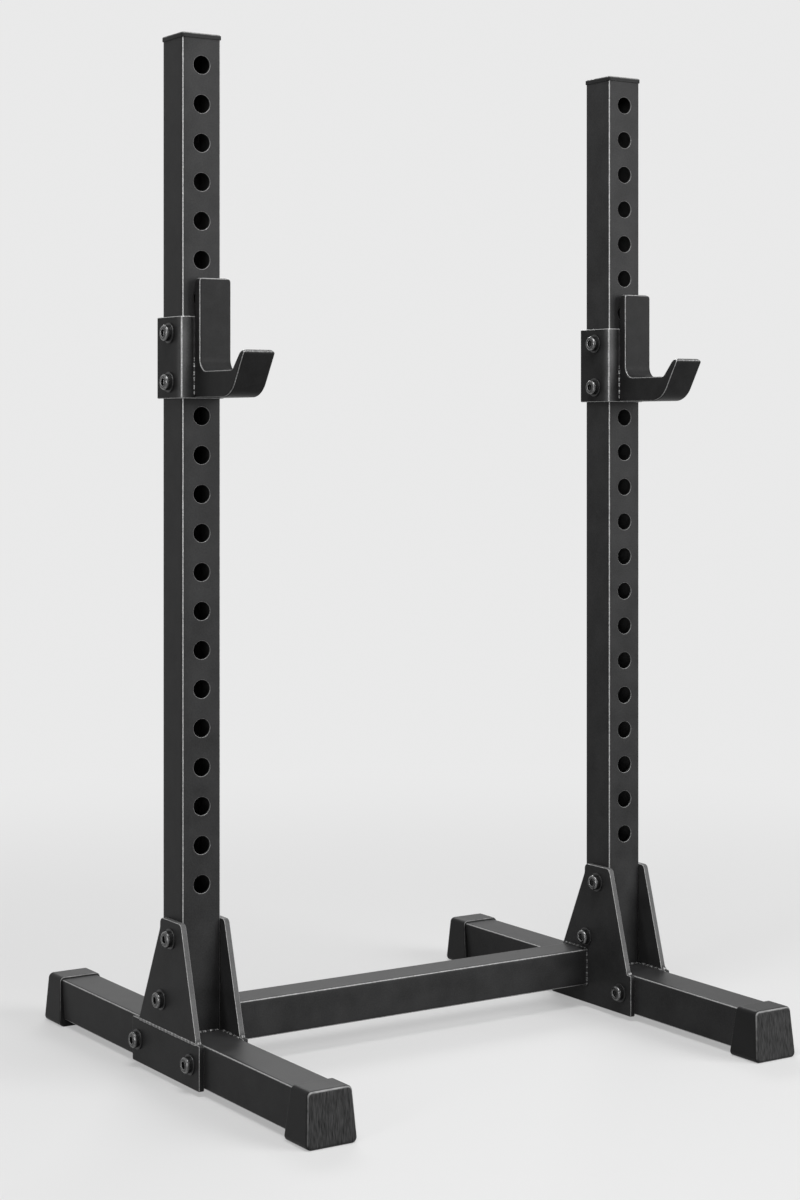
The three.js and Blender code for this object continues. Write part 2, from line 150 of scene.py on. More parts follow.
@dataclass
class Skin:
    """The points, faces, edge wear and special region of one piece while it is being worked out.

    It takes points in the piece's own axes, and keeps them in the stand's.

    Attributes:
        lie: How the piece's own axes lie in the stand.
        origin: Where they start in the stand.
    """

    lie: Lie = Lie.ALONG_Z
    origin: Row = ORIGIN
    points: list = field(default_factory=list)
    wear: list = field(default_factory=list)
    region: list = field(default_factory=list)
    quads: list = field(default_factory=list)
    polygons: list = field(default_factory=list)
    count: int = 0

    def add(self, points: Array, wear: Array | float = 0.0, region: Array | float = 0.0) -> Array:
        """Adds points.

        Args:
            points: The points, with u, v and w in the last axis.
            wear: How far each point's coat is rubbed bright, 0 to 1, which along edges and bends
                also paints the highlight that they catch.
            region: How far each point lies in the finish's special region, 0 to 1.

        Returns:
            The points' indices, in the shape of the points' other axes.
        """
        shape = points.shape[:-1]
        size = int(np.prod(shape))
        self.points.append(self.lie.place(points, self.origin).reshape(-1, 3))
        self.wear.append(np.broadcast_to(wear, shape).reshape(-1))
        self.region.append(np.broadcast_to(region, shape).reshape(-1))
        index = np.arange(self.count, self.count + size).reshape(shape)
        self.count += size
        return index

    def grid(self, index: Array, keep: Array | None = None) -> None:
        """Adds the quads between neighbours in a grid of indices.

        Args:
            index: The indices, one row for each ring and one column for each place round it. The
                last column joins the first.
            keep: Which quads to add, one truth value for each.
        """
        turned = np.roll(index, -1, axis=1)
        quads = np.stack([index[:-1], turned[:-1], turned[1:], index[1:]], axis=-1)
        if keep is not None:
            quads = quads[keep]
        self.quads.append(quads.reshape(-1, 4))

    def lid(self, ring: Array) -> None:
        """Closes a flat ring of indices with one face."""
        self.polygons.append([int(i) for i in ring])

    def sweep(self, index: Array, closed: bool = False) -> None:
        """Adds a swept surface, whose last ring joins its first or whose two ends are flat.

        Args:
            index: The indices, one row for each ring.
            closed: Whether the last ring joins the first.
        """
        if closed:
            self.grid(np.concatenate([index, index[:1]]))
            return
        self.grid(index)
        self.lid(index[0])
        self.lid(index[-1])

    def piece(self, name: str, slot: Slot, body: str, *nodes: str) -> None:
        """Makes the object, with its doubles merged and its faces turned outwards.

        Args:
            name: The piece's name.
            slot: The finish that it wears.
            body: The body that it rides on.
            *nodes: The nodes that it stands for.
        """
        faces = [quad for block in self.quads for quad in block.tolist()] + self.polygons
        mesh = bpy.data.meshes.new(name)
        mesh.from_pydata(np.concatenate(self.points).tolist(), [], faces)
        for label, values in (("wear", self.wear), ("region", self.region)):
            layer = mesh.attributes.new(label, "FLOAT", "POINT")
            layer.data.foreach_set("value", np.concatenate(values).astype(np.float32))
        work = bmesh.new()
        work.from_mesh(mesh)
        bmesh.ops.remove_doubles(work, verts=work.verts, dist=WELD_SLACK)
        bmesh.ops.recalc_face_normals(work, faces=work.faces)
        work.to_mesh(mesh)
        work.free()
        mesh.shade_smooth()
        mesh.set_sharp_from_angle(angle=SHARP_ANGLE)
        mesh.materials.append(FINISHES[slot].material())
        made = add_object(name, mesh)
        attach(made, body)
        if nodes:
            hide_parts(*nodes)
        log.info("%s: %d faces", name, len(mesh.polygons))


def rounded_loop(corners: Table, steps: int = CORNER_STEPS) -> Array:
    """Works out a closed outline whose corners are arcs.

    Each arc touches both of its corner's sides: its centre lies on the corner's bisector, at the
    radius over the sine of half the corner's angle.

    Args:
        corners: The corners anticlockwise, each as u, v and radius.
        steps: The number of steps in each arc.

    Returns:
        The outline's points, anticlockwise.
    """
    places = np.array([corner[:2] for corner in corners], float)
    parts = []
    for index, (here, radius) in enumerate(zip(places, [corner[2] for corner in corners])):
        if radius == 0:
            parts.append(here[None])
            continue
        back = places[index - 1] - here
        ahead = places[(index + 1) % len(places)] - here
        back, ahead = back / np.linalg.norm(back), ahead / np.linalg.norm(ahead)
        half = math.acos(float(np.clip(back @ ahead, -1, 1))) / 2
        bisector = (back + ahead) / np.linalg.norm(back + ahead)
        centre = here + bisector * radius / math.sin(half)
        first = here + back * radius / math.tan(half) - centre
        last = here + ahead * radius / math.tan(half) - centre
        start = math.atan2(first[1], first[0])
        sweep = (math.atan2(last[1], last[0]) - start + HALF_TURN) % FULL_TURN - HALF_TURN
        angle = start + sweep * np.linspace(0, 1, steps + 1)
        parts.append(centre + radius * np.stack([np.cos(angle), np.sin(angle)], axis=-1))
    return np.concatenate(parts)


def corner_wear_and_highlight(corners: Table, steps: int, rub: dict, power: float) -> Array:
    """Works out the wear at a rounded outline's points: a sine's power across each worn corner.

    Args:
        corners: The corners that the outline was made from.
        steps: The number of steps in each arc.
        rub: The wear at the middle of each worn corner, by the corner's place in the list.
        power: The power, which narrows the worn line.

    Returns:
        The wear at each point of the outline.
    """
    crest = np.sin(np.linspace(0, HALF_TURN, steps + 1)) ** power
    radii = enumerate(corner[2] for corner in corners)
    parts = [crest * rub.get(i, 0.0) if radius else np.zeros(1) for i, radius in radii]
    return np.concatenate(parts)


def square_loop(half: float, radius: float, steps: int = CORNER_STEPS) -> Array:
    """Works out a rounded square about the origin, anticlockwise from its lowest corner."""
    signs = ((-1, -1), (1, -1), (1, 1), (-1, 1))
    return rounded_loop([(u * half, v * half, radius) for u, v in signs], steps)


def circle_loop(centre: Row, radius: float, steps: int) -> Array:
    """Works out a circle, clockwise, so that the material lies on the left of its travel."""
    angle = -np.arange(steps) * FULL_TURN / steps
    return np.asarray(centre) + radius * np.stack([np.cos(angle), np.sin(angle)], axis=-1)


def inset_loop(loop: Array, inset: float) -> Array:
    """Moves an outline into its material, to the left of its travel, by the same amount all round.

    Each point moves along the sum of its two sides' normals over one plus their product.

    Args:
        loop: The outline.
        inset: How far it moves.

    Returns:
        The moved outline.
    """
    side = np.roll(loop, -1, axis=0) - loop
    side = side / np.linalg.norm(side, axis=1)[:, None]
    after = np.stack([-side[:, 1], side[:, 0]], axis=-1)
    before = np.roll(after, 1, axis=0)
    mitre = (before + after) / (1 + (before * after).sum(axis=1))[:, None]
    return loop + inset * mitre


def denser(loop: Array, step: float) -> Array:
    """Splits an outline's long sides evenly, and whatever its later columns hold with them.

    Args:
        loop: The outline, with u and v in its first two columns.
        step: The longest side that is left.

    Returns:
        The outline with its new points.
    """
    side = np.roll(loop, -1, axis=0) - loop
    counts = np.maximum(np.ceil(np.linalg.norm(side[:, :2], axis=1) / step), 1).astype(int)
    owner = np.repeat(np.arange(len(loop)), counts)
    share = (np.arange(len(owner)) - (np.cumsum(counts) - counts)[owner]) / counts[owner]
    return loop[owner] + share[:, None] * side[owner]


def shrink_at_top(height: Array, top: float, radius: float) -> Array:
    """Works out how far a quarter circle below a top draws a side in, at each height."""
    rise = np.clip(height - (top - radius), 0, radius)
    return radius - np.sqrt(radius**2 - rise**2)


@dataclass(frozen=True)
class Edge:
    """A rounded edge: its radius, the flat band beside it over which the rub fades, and the rub,
    which is worn coat and also a painted highlight along the edge.

    A higher power narrows the rubbed line along the middle of the arc.
    """

    radius: float
    band: float = 0.0015
    steps: int = 4
    rub: float = 1.0
    power: float = 2.0

    def stations(self) -> Array:
        """Works out the edge's section as inset, rise and wear, from the flat to the rim.

        The arc's inset is the radius times one less the sine, and its rise one less the cosine. Its
        wear is a power of the sine of twice the angle.

        Returns:
            One row for each station: its inset, its rise and its wear.
        """
        angle = np.linspace(0, QUARTER_TURN, self.steps + 1)
        crest = np.sin(2 * angle) ** self.power
        inset, rise = self.radius * (1 - np.sin(angle)), self.radius * (1 - np.cos(angle))
        arc = np.stack([inset, rise, self.rub * crest], axis=-1)
        flat = [[self.radius + self.band, 0.0, 0.0]]
        rim = [[0.0, self.radius + self.band, 0.0]]
        return np.concatenate([flat, arc, rim])


def slab(
    skin: Skin,
    outline: Array,
    thickness: float,
    edge: Edge,
    holes: Sequence[Array] = (),
    rim_wear: Array | float = 0.0,
    rim_region: Array | float = 0.0,
    bend: Callable[[Array], Array] | None = None,
) -> None:
    """Adds a flat slab with rounded edges: rings carried along each outline, and two flat faces.

    Args:
        skin: The skin that takes the surface.
        outline: The outline, anticlockwise.
        thickness: From the low face, at w = 0, to the high face.
        edge: The rounding of every edge.
        holes: The holes' outlines, clockwise.
        rim_wear: The wear of the rim at each of the outline's points.
        rim_region: How far the rim lies in the finish's special region at each of them.
        bend: What reshapes the points, or None.
    """
    stations = edge.stations()
    inset = np.concatenate([stations[:, 0], stations[::-1, 0]])
    rise = np.concatenate([stations[:, 1], thickness - stations[::-1, 1]])
    wear = np.concatenate([stations[:, 2], stations[::-1, 2]])
    on_rim = (inset < edge.radius).astype(float)
    rims = []
    for place, loop in enumerate((outline, *holes)):
        rings = np.stack([inset_loop(loop, value) for value in inset])
        depth = np.broadcast_to(rise[:, None, None], (*rings.shape[:2], 1))
        points = np.concatenate([rings, depth], axis=-1)
        points = bend(points) if bend else points
        shares = (rim_wear, rim_region) if place == 0 else (0.0, 0.0)
        extra, region = (on_rim[:, None] * share for share in shares)
        index = skin.add(points, np.maximum(wear[:, None], extra), region)
        skin.grid(index)
        rims.append((rings[0], index[0], index[-1]))
    fill = flat_fill([rim[0] for rim in rims])
    for face in (1, 2):
        index = np.concatenate([rim[face] for rim in rims])
        skin.polygons.extend(index[fill].tolist())


def flat_fill(loops: Sequence[Array], inner: Array | None = None) -> Array:
    """Triangulates the flat between an outline and its holes.

    Args:
        loops: The outline first, then the holes.
        inner: Points that lie on the flat itself, or None.

    Returns:
        The triangles, as indices into the loops' points in order and then the inner points.
    """
    points = np.concatenate([*loops, inner] if inner is not None else loops)
    starts = np.cumsum([0] + [len(loop) for loop in loops])
    edges = [
        (int(start + i), int(start + (i + 1) % len(loop)))
        for start, loop in zip(starts, loops)
        for i in range(len(loop))
    ]
    spots = [Vector(point) for point in points]
    found = delaunay_2d_cdt(spots, edges, [], FILL_INSIDE, FILL_SLACK)
    origin = np.array([ids[0] for ids in found[3]])
    triangles = origin[np.array(found[2])]
    middle = points[triangles].mean(axis=1)
    inside = np.ones(len(triangles), bool)
    for loop in loops[1:]:
        centre = loop.mean(axis=0)
        inside &= np.linalg.norm(middle - centre, axis=1) > np.linalg.norm(loop[0] - centre)
    return triangles[inside]


@dataclass(frozen=True)
class Drilling:
    """One round hole in a flat of a square tube.

    The flats are counted from the one that faces -v, anticlockwise: -v, +u, +v, -u.
    """

    flat: int
    across: float
    along: float
    radius: float
    reach: float

    @classmethod
    def through(cls, flat: int, across: float, along: float, radius: float, reach: float) -> list:
        """Gives the two holes that a drill makes in a flat and in the one opposite."""
        sides = (flat, across), (flat + 2, -across)
        return [cls(*side, along, radius, reach) for side in sides]


@dataclass(frozen=True)
class SquareTube:
    """A square tube with rounded bends and drilled flats, from low to high along its own w."""

    width: float
    low: float
    high: float
    drillings: tuple = ()
    wall: float = 0.003
    bend: float = 0.005
    inner_bend: float = 0.002
    flat_steps: int = 10
    bend_steps: int = 6
    rim_steps: int = 3
    rim: float = 0.0011
    band: float = 0.0012
    bend_power: float = 8.0
    hole_rub: float = 0.6

    def loop(self, half: float, bend: float) -> Array:
        """Works out the section's outline: each flat in equal steps, then a quarter circle.

        Args:
            half: The distance from the section's middle to a flat.
            bend: The bends' radius.

        Returns:
            The outline's points, anticlockwise.
        """
        flat = half - bend
        across = np.linspace(-flat, flat, self.flat_steps + 1)
        angle = np.linspace(-QUARTER_TURN, 0, self.bend_steps + 1)[1:-1]
        side = np.stack([across, np.full_like(across, -half)], axis=-1)
        corner = np.stack([flat + bend * np.cos(angle), -flat + bend * np.sin(angle)], axis=-1)
        quarter = np.concatenate([side, corner])
        turns = [((0, 1), (-1, 0)), ((-1, 0), (0, -1)), ((0, -1), (1, 0))]
        return np.concatenate([quarter, *(quarter @ np.array(turn) for turn in turns)])

    def bend_wear(self) -> Array:
        """Works out the rub round the section: a high power of a sine across each bend, a thin
        bright line of worn coat that also paints the highlight the bends catch.
        """
        rise = np.sin(np.linspace(0, HALF_TURN, self.bend_steps + 1))[1:-1] ** self.bend_power
        return np.tile(np.concatenate([np.zeros(self.flat_steps + 1), rise]), 4)

    def levels(self) -> tuple[Array, dict]:
        """Works out the places along the tube where its rings lie.

        Returns:
            The places, and for each drilled place the first of its rings.
        """
        places, cells = [self.low], {}
        reaches = {round(drill.along, 6): drill.reach for drill in self.drillings}
        for along in sorted(reaches):
            first, last = along - reaches[along], along + reaches[along]
            if first - places[-1] > WELD_SLACK:
                places.append(first)
            cells[along] = len(places) - 1
            places.extend(np.linspace(first, last, self.flat_steps + 1)[1:])
        if self.high - places[-1] > WELD_SLACK:
            places.append(self.high)
        return np.array(places), cells

    def build(self, skin: Skin) -> None:
        """Adds the tube's outer and inner walls, its holes and its two ends.

        Args:
            skin: The skin that takes the surface.
        """
        levels, cells = self.levels()
        walls = []
        # The outer wall's bends carry a thin bright line, painted highlight and worn coat; the
        # inner wall has none.
        for half, bend, rub in (
            (self.width / 2, self.bend, self.bend_wear()),
            (self.width / 2 - self.wall, self.inner_bend, 0.0),
        ):
            loop = self.loop(half, bend)
            shape = (len(levels), len(loop))
            section = np.broadcast_to(loop, (*shape, 2))
            along = np.broadcast_to(levels[:, None, None], (*shape, 1))
            points = np.concatenate([section, along], axis=-1)
            walls.append((half, points, skin.add(points, rub)))
        keep = np.ones((len(levels) - 1, walls[0][2].shape[1]), bool)
        for drill in self.drillings:
            column = drill.flat * (self.flat_steps + self.bend_steps)
            row = cells[round(drill.along, 6)]
            keep[row : row + self.flat_steps, column : column + self.flat_steps] = False
            angles = None
            ring = self.cell_ring(row, column)
            for wall, (half, points, index) in enumerate(walls):
                border = points[ring], index[ring]
                angles = self.drill_wall(skin, drill, wall, half, *border, angles)
        for _, _, index in walls:
            skin.grid(index, keep=keep)
        for end in (0, -1):
            skin.grid(np.stack([walls[0][2][end], walls[1][2][end]]))

    def cell_ring(self, row: int, column: int) -> tuple[Array, Array]:
        """Gives the rows and columns round a drilled cell, anticlockwise from its lowest corner.

        Args:
            row: The cell's first row.
            column: The cell's first column.

        Returns:
            The rows and the columns.
        """
        full = self.flat_steps
        step, none = np.arange(full), np.zeros(full, int)
        rows = np.concatenate([none, step, none + full, full - step])
        columns = np.concatenate([step, none + full, full - step, none])
        return row + rows, column + columns

    def drill_wall(
        self,
        skin: Skin,
        drill: Drilling,
        wall: int,
        half: float,
        border: Array,
        border_index: Array,
        angles: Array | None,
    ) -> Array:
        """Adds the surface between a drilled cell's border and the middle of the hole's wall.

        Args:
            skin: The skin that takes the surface.
            drill: The hole.
            wall: 0 for the outer wall, whose rim is rounded, and 1 for the inner one.
            half: The distance from the tube's centre to this wall's flat.
            border: The points round the cell.
            border_index: The indices of those points.
            angles: The places round the hole, or None to work them out.

        Returns:
            The places round the hole, which the other wall takes too.
        """
        turn = drill.flat * QUARTER_TURN
        across = np.array([math.cos(turn), math.sin(turn), 0])
        out = np.array([math.sin(turn), -math.cos(turn), 0])
        along = np.array([0, 0, 1])
        middle = self.width / 2 - self.wall / 2
        if angles is None:
            rise, run = border[:, 2] - drill.along, border @ across - drill.across
            seen = np.unwrap(np.arctan2(rise, run))
            even = seen[0] + np.arange(len(border)) * FULL_TURN / len(border)
            angles = (seen + even) / 2
        if wall == 0:
            arc = np.linspace(0, QUARTER_TURN, self.rim_steps + 1)
            radius = drill.radius + self.rim * (1 - np.sin(arc))
            depth = half - self.rim * (1 - np.cos(arc))
            radius = np.concatenate([[drill.radius + self.rim + self.band], radius, [drill.radius]])
            depth = np.concatenate([[half], depth, [middle]])
            # The rounded rim is rubbed bright: worn coat, and a painted highlight on the rim.
            wear = np.concatenate([[0.0], self.hole_rub * np.sin(2 * arc), [0.0]])
        else:
            radius = np.array([drill.radius + self.band, drill.radius, drill.radius])
            depth = np.array([half, half, middle])
            wear = np.zeros(3)
        circle = np.cos(angles)[:, None] * across + np.sin(angles)[:, None] * along
        centre = across * drill.across + along * drill.along
        points = centre + radius[:, None, None] * circle + depth[:, None, None] * out
        index = skin.add(points, wear[:, None])
        skin.grid(np.concatenate([border_index[None], index]))
        return angles


def turned(skin: Skin, rings: Table, closed: bool = False) -> None:
    """Adds a turned piece: a section swept round its own w axis, with flat ends or a bore.

    A ring's radius is a circle's, or a hexagon's from its middle to a flat, which is the flat's
    distance over the cosine of the angle from the flat's middle. A share mixes the two.

    Args:
        skin: The skin that takes the surface.
        rings: The rings, each as radius, place along the axis, hexagon's share and wear.
        closed: Whether the last ring joins the first, round a bore.
    """
    table = np.array(rings, float)
    angle = np.arange(ROUND_STEPS) * FULL_TURN / ROUND_STEPS
    sixth = FULL_TURN / 6
    hexagon = 1 / np.cos((angle + sixth / 2) % sixth - sixth / 2)
    radius = table[:, 0, None] * (1 + table[:, 2, None] * (hexagon - 1))
    along = np.broadcast_to(table[:, 1, None], radius.shape)
    points = np.stack([radius * np.cos(angle), radius * np.sin(angle), along], axis=-1)
    skin.sweep(skin.add(points, table[:, 3, None]), closed)


def waves(place: Array, parts: Table, middle: float = 0.0) -> Array:
    """Adds sine waves to a middle value, each given as its rate, its phase and its height."""
    return sum((height * np.sin(place * rate + phase) for rate, phase, height in parts), middle)


@dataclass(frozen=True)
class Bead:
    """A weld bead: its section, its ripples, its slow wander and its lines of wear.

    Attributes:
        leg: How far it reaches along the first surface.
        height: How far it reaches along the second surface, or 0 for as far as the first.
        ripple: The length of one ripple.
        ripple_depth: How far it draws in between two ripples, as a share of its size.
        wander: How far its size wanders, as a share.
        span: The angle that its section sweeps.
        taper: The length over which an open bead's ends come to a point.
        crests: The number of worn lines along it.
        ripple_wear: How far the wear falls between two ripples, as a share.
        break_depth: How far the wear falls in its breaks, as a share.
        worn_share: The share of its length that is worn.
        rub: The wear along its crests.
        bow: How far a ripple lags at the bead's sides.
        arc_steps: The steps in its section.
        rows_per_ripple: The rows in one ripple.
        drift: The waves of an open bead's wander, by length.
        loop_drift: The waves of a closed bead's wander, by turns round the loop.
        breaks: The waves of the breaks in the wear, by length.
        tip_share: The share of the taper that a tip keeps, so that it doesn't close to nothing.
        fade_rate: How fast the wear fades past the worn share.
    """

    leg: float
    height: float = 0.0
    ripple: float = 0.0022
    ripple_depth: float = 0.16
    wander: float = 0.12
    span: float = QUARTER_TURN
    taper: float = 0.004
    crests: int = 1
    ripple_wear: float = 1.0
    break_depth: float = 1.0
    worn_share: float = 1.0
    rub: float = 1.0
    bow: float = 0.9
    arc_steps: int = 7
    rows_per_ripple: int = 5
    drift: ClassVar[tuple] = ((310, 1.0, 0.6), (131, 0.0, 0.4))
    loop_drift: ClassVar[tuple] = ((7, 0.0, 0.6), (3, 0.0, 0.4))
    breaks: ClassVar[tuple] = ((523, 0.3, -0.4), (1291, 0.5, -0.4))
    tip_share: ClassVar[float] = 0.02
    fade_rate: ClassVar[float] = 6

    def size(self, place: Array, length: float, crest: Array, closed: bool) -> Array:
        """Works out the section's size, as a share, at each row and angle.

        It is one, less a ripple whose crests curve across the bead, less a slow wander. At an open
        bead's ends it tapers to a point as a circle does.

        Args:
            place: Each row's place along the path.
            length: The path's length.
            crest: How near each row and angle lies to a ripple's crest, 0 to 1.
            closed: Whether the path's end joins its start.

        Returns:
            The size at each row and angle.
        """
        turn = FULL_TURN * place / length
        slow = waves(turn, self.loop_drift) if closed else waves(place, self.drift)
        size = 1 - self.ripple_depth * (1 - crest) - self.wander * 0.5 * (1 + slow[:, None])
        if not closed:
            near = np.clip(np.minimum(place, length - place) / self.taper, 0, 1)
            size = size * np.sqrt(1 - (1 - np.clip(near, self.tip_share, 1)) ** 2)[:, None]
        return size

    def wear(self, place: Array, length: float, crest: Array, angle: Array) -> Array:
        """Works out the wear at each row and angle, with none along the bead's root.

        It is the root of a sine across the section, broken along the path by two waves.

        Args:
            place: Each row's place along the path.
            length: The path's length.
            crest: How near each row and angle lies to a ripple's crest, 0 to 1.
            angle: The section's angles.

        Returns:
            The wear at each row and angle, and at the root.
        """
        arch = np.sqrt(np.abs(np.sin(angle / self.span * HALF_TURN * self.crests)))
        broken = np.clip(1 - self.break_depth * waves(place, self.breaks, 0.5), 0, 1)
        faded = (self.worn_share - place / length) * self.fade_rate + 1
        broken = broken * np.clip(faded, 0, 1)
        touched = self.rub * (1 - self.ripple_wear * (1 - crest))
        return np.concatenate([touched * arch * broken[:, None], 0 * place[:, None]], axis=1)

    def build(
        self, skin: Skin, path: Array, first: Array, second: Array, closed: bool = False
    ) -> None:
        """Adds the bead: an arc from one direction to the other, carried along a path.

        Args:
            skin: The skin that takes the surface.
            path: The corner's points, or a butt joint's middle line.
            first: At each point, the direction in which the arc starts.
            second: At each point, the direction a quarter turn on.
            closed: Whether the path's end joins its start.
        """
        if closed:
            parts = path, first, second
            path, first, second = (np.concatenate([part, part[:1]]) for part in parts)
        run = np.concatenate([[0], np.cumsum(np.linalg.norm(np.diff(path, axis=0), axis=1))])
        length = run[-1]
        ripples = max(1, round(length / self.ripple))
        rows = ripples * self.rows_per_ripple
        place = np.linspace(0, length, rows + 1)[: rows if closed else rows + 1]
        centre, *sides = (
            np.stack([np.interp(place, run, part[:, axis]) for axis in range(3)], axis=-1)
            for part in (path, first, second)
        )
        start, end = (part / np.linalg.norm(part, axis=1)[:, None] for part in sides)
        angle = np.linspace(0, self.span, self.arc_steps + 1)
        lag = self.bow * (angle - self.span / 2) ** 2
        crest = np.abs(np.sin(HALF_TURN * ripples * place[:, None] / length - lag))
        across = self.leg * np.cos(angle)[None, :, None] * start[:, None]
        up = (self.height or self.leg) * np.sin(angle)[None, :, None] * end[:, None]
        size = self.size(place, length, crest, closed)
        arc = centre[:, None] + size[..., None] * (across + up)
        ring = np.concatenate([arc, centre[:, None]], axis=1)
        skin.sweep(skin.add(ring, self.wear(place, length, crest, angle)), closed)


# Finishes


MID_GREY = (0.5, 0.5, 0.5, 1.0)
SOCKET_KINDS = {1: "NodeSocketFloat", 3: "NodeSocketVector", 4: "NodeSocketColor"}


class Tree:
    """A node tree with short ways to add and join nodes."""

    spacing: ClassVar[int] = 180

    def __init__(self, tree: bpy.types.NodeTree) -> None:
        """Takes the tree that the nodes go into."""
        self.tree = tree
        self.column = 0

    @classmethod
    def group(cls, name: str, inputs: dict, outputs: dict) -> "Tree":
        """Makes a node group with named inputs and outputs.

        Args:
            name: The group's name.
            inputs: The inputs' names, each with its default number, place or colour.
            outputs: The outputs' names, each with a value of the kind that it gives.

        Returns:
            The group's tree, with its input and output nodes in place.
        """
        made = cls(bpy.data.node_groups.new(name, "ShaderNodeTree"))
        for way, sockets in (("INPUT", inputs), ("OUTPUT", outputs)):
            for label, value in sockets.items():
                kind = SOCKET_KINDS[np.size(value)]
                new = made.tree.interface.new_socket(label, in_out=way, socket_type=kind)
                if way == "INPUT":
                    new.default_value = value
        made.inlet = made.node("NodeGroupInput").outputs
        made.outlet = made.node("NodeGroupOutput").inputs
        return made

    def node(self, kind: str, **settings: object) -> bpy.types.Node:
        """Adds a node and gives it its settings.

        Args:
            kind: The node's type.
            **settings: Its settings, by name.

        Returns:
            The new node.
        """
        node = self.tree.nodes.new(kind)
        self.column += 1
        node.location = (self.spacing * self.column, 0)
        for key, value in settings.items():
            setattr(node, key, value)
        return node

    def link(self, source: object, target: Socket) -> None:
        """Joins an output to an input, or sets the input to a plain value.

        Args:
            source: The output, or the plain value.
            target: The input.
        """
        if isinstance(source, Socket):
            self.tree.links.new(source, target)
        else:
            target.default_value = source

    def math(self, operation: str, *values: object, clamp: bool = False) -> Socket:
        """Adds a Math node.

        Args:
            operation: What the node works out.
            *values: What its inputs take, in order.
            clamp: Whether the result is held between 0 and 1.

        Returns:
            The result.
        """
        node = self.node("ShaderNodeMath", operation=operation, use_clamp=clamp)
        for value, socket in zip(values, node.inputs):
            self.link(value, socket)
        return node.outputs["Value"]

    def mix(self, factor: object, first: object, second: object) -> Socket:
        """Mixes two numbers: the first at factor 0 and the second at factor 1."""
        difference = self.math("SUBTRACT", second, first)
        return self.math("MULTIPLY_ADD", difference, factor, first)

    def mix_color(self, factor: object, first: object, second: object) -> Socket:
        """Mixes two colours: the first at factor 0 and the second at factor 1.

        Args:
            factor: The second colour's share.
            first: The first colour.
            second: The second colour.

        Returns:
            The mixed colour.
        """
        node = self.node("ShaderNodeMix", data_type="RGBA")
        for value, index in ((factor, 0), (first, 6), (second, 7)):
            self.link(value, node.inputs[index])
        return node.outputs[2]

    def scale_color(self, color: object, factor: object) -> Socket:
        """Multiplies a colour by a number.

        Args:
            color: The colour.
            factor: The number.

        Returns:
            The scaled colour.
        """
        node = self.node("ShaderNodeVectorMath", operation="SCALE")
        self.link(color, node.inputs[0])
        self.link(factor, node.inputs["Scale"])
        return node.outputs["Vector"]

    def noise(self, place: object, scale: object, detail: float, rough: float = 0.5) -> Socket:
        """Adds a noise pattern, which runs from 0 to 1 about its middle of a half.

        Args:
            place: Where the pattern is read.
            scale: Its features in a metre.
            detail: How many finer layers it has.
            rough: How strong the finer layers are.

        Returns:
            The pattern's value.
        """
        node = self.node("ShaderNodeTexNoise")
        values = {"Vector": place, "Scale": scale, "Detail": detail, "Roughness": rough}
        for name, value in values.items():
            self.link(value, node.inputs[name])
        return node.outputs["Fac"]

    def seen(self) -> Socket:
        """Gives 1 for what is seen straight, mirrored or through glass, and 0 for soft light.

        Returns:
            The number.
        """
        rays = self.node("ShaderNodeLightPath").outputs
        straight = self.math("ADD", rays["Is Camera Ray"], rays["Is Glossy Ray"])
        return self.math("ADD", straight, rays["Is Transmission Ray"], clamp=True)

    def use(
        self, group: bpy.types.NodeTree, finish: "Finish", **values: object
    ) -> bpy.types.bpy_prop_collection:
        """Places a node group and joins its inputs.

        Args:
            group: The node group.
            finish: What gives the inputs that no value is given for, from its field of their name.
            **values: What the other inputs take, with bars for the spaces in their names.

        Returns:
            The group's outputs.
        """
        node = self.node("ShaderNodeGroup", node_tree=group)
        for socket in node.inputs:
            key = socket.name.replace(" ", "_")
            value = values[key] if key in values else getattr(finish, key.lower())
            self.link(value, socket)
        return node.outputs


@cache
def mottle_group() -> bpy.types.NodeTree:
    """Makes the group that varies a colour in soft clouds and fine specks.

    Returns:
        The node group.
    """
    full_swing, darkest = 2.0, 0.1
    tree = Tree.group(
        "uneven coat",
        {
            "Place": ORIGIN, "Color": MID_GREY,
            "Cloud Scale": 40, "Cloud Depth": 0.2,
            "Speck Scale": 900, "Speck Depth": 0.2,
        },
        {"Color": MID_GREY, "Tone": 0},
    )
    inlet = tree.inlet
    tones = []
    for kind, detail in (("Cloud", 4.0), ("Speck", 2.0)):
        noise = tree.noise(inlet["Place"], inlet[f"{kind} Scale"], detail)
        swing = tree.math("SUBTRACT", noise, 0.5)
        tones.append(tree.math("MULTIPLY", swing, inlet[f"{kind} Depth"]))
    tone = tree.math("MULTIPLY", tree.math("ADD", *tones), full_swing)
    factor = tree.math("MAXIMUM", tree.math("ADD", tone, 1.0), darkest)
    tree.link(tree.scale_color(inlet["Color"], factor), tree.outlet["Color"])
    tree.link(tone, tree.outlet["Tone"])
    return tree.tree


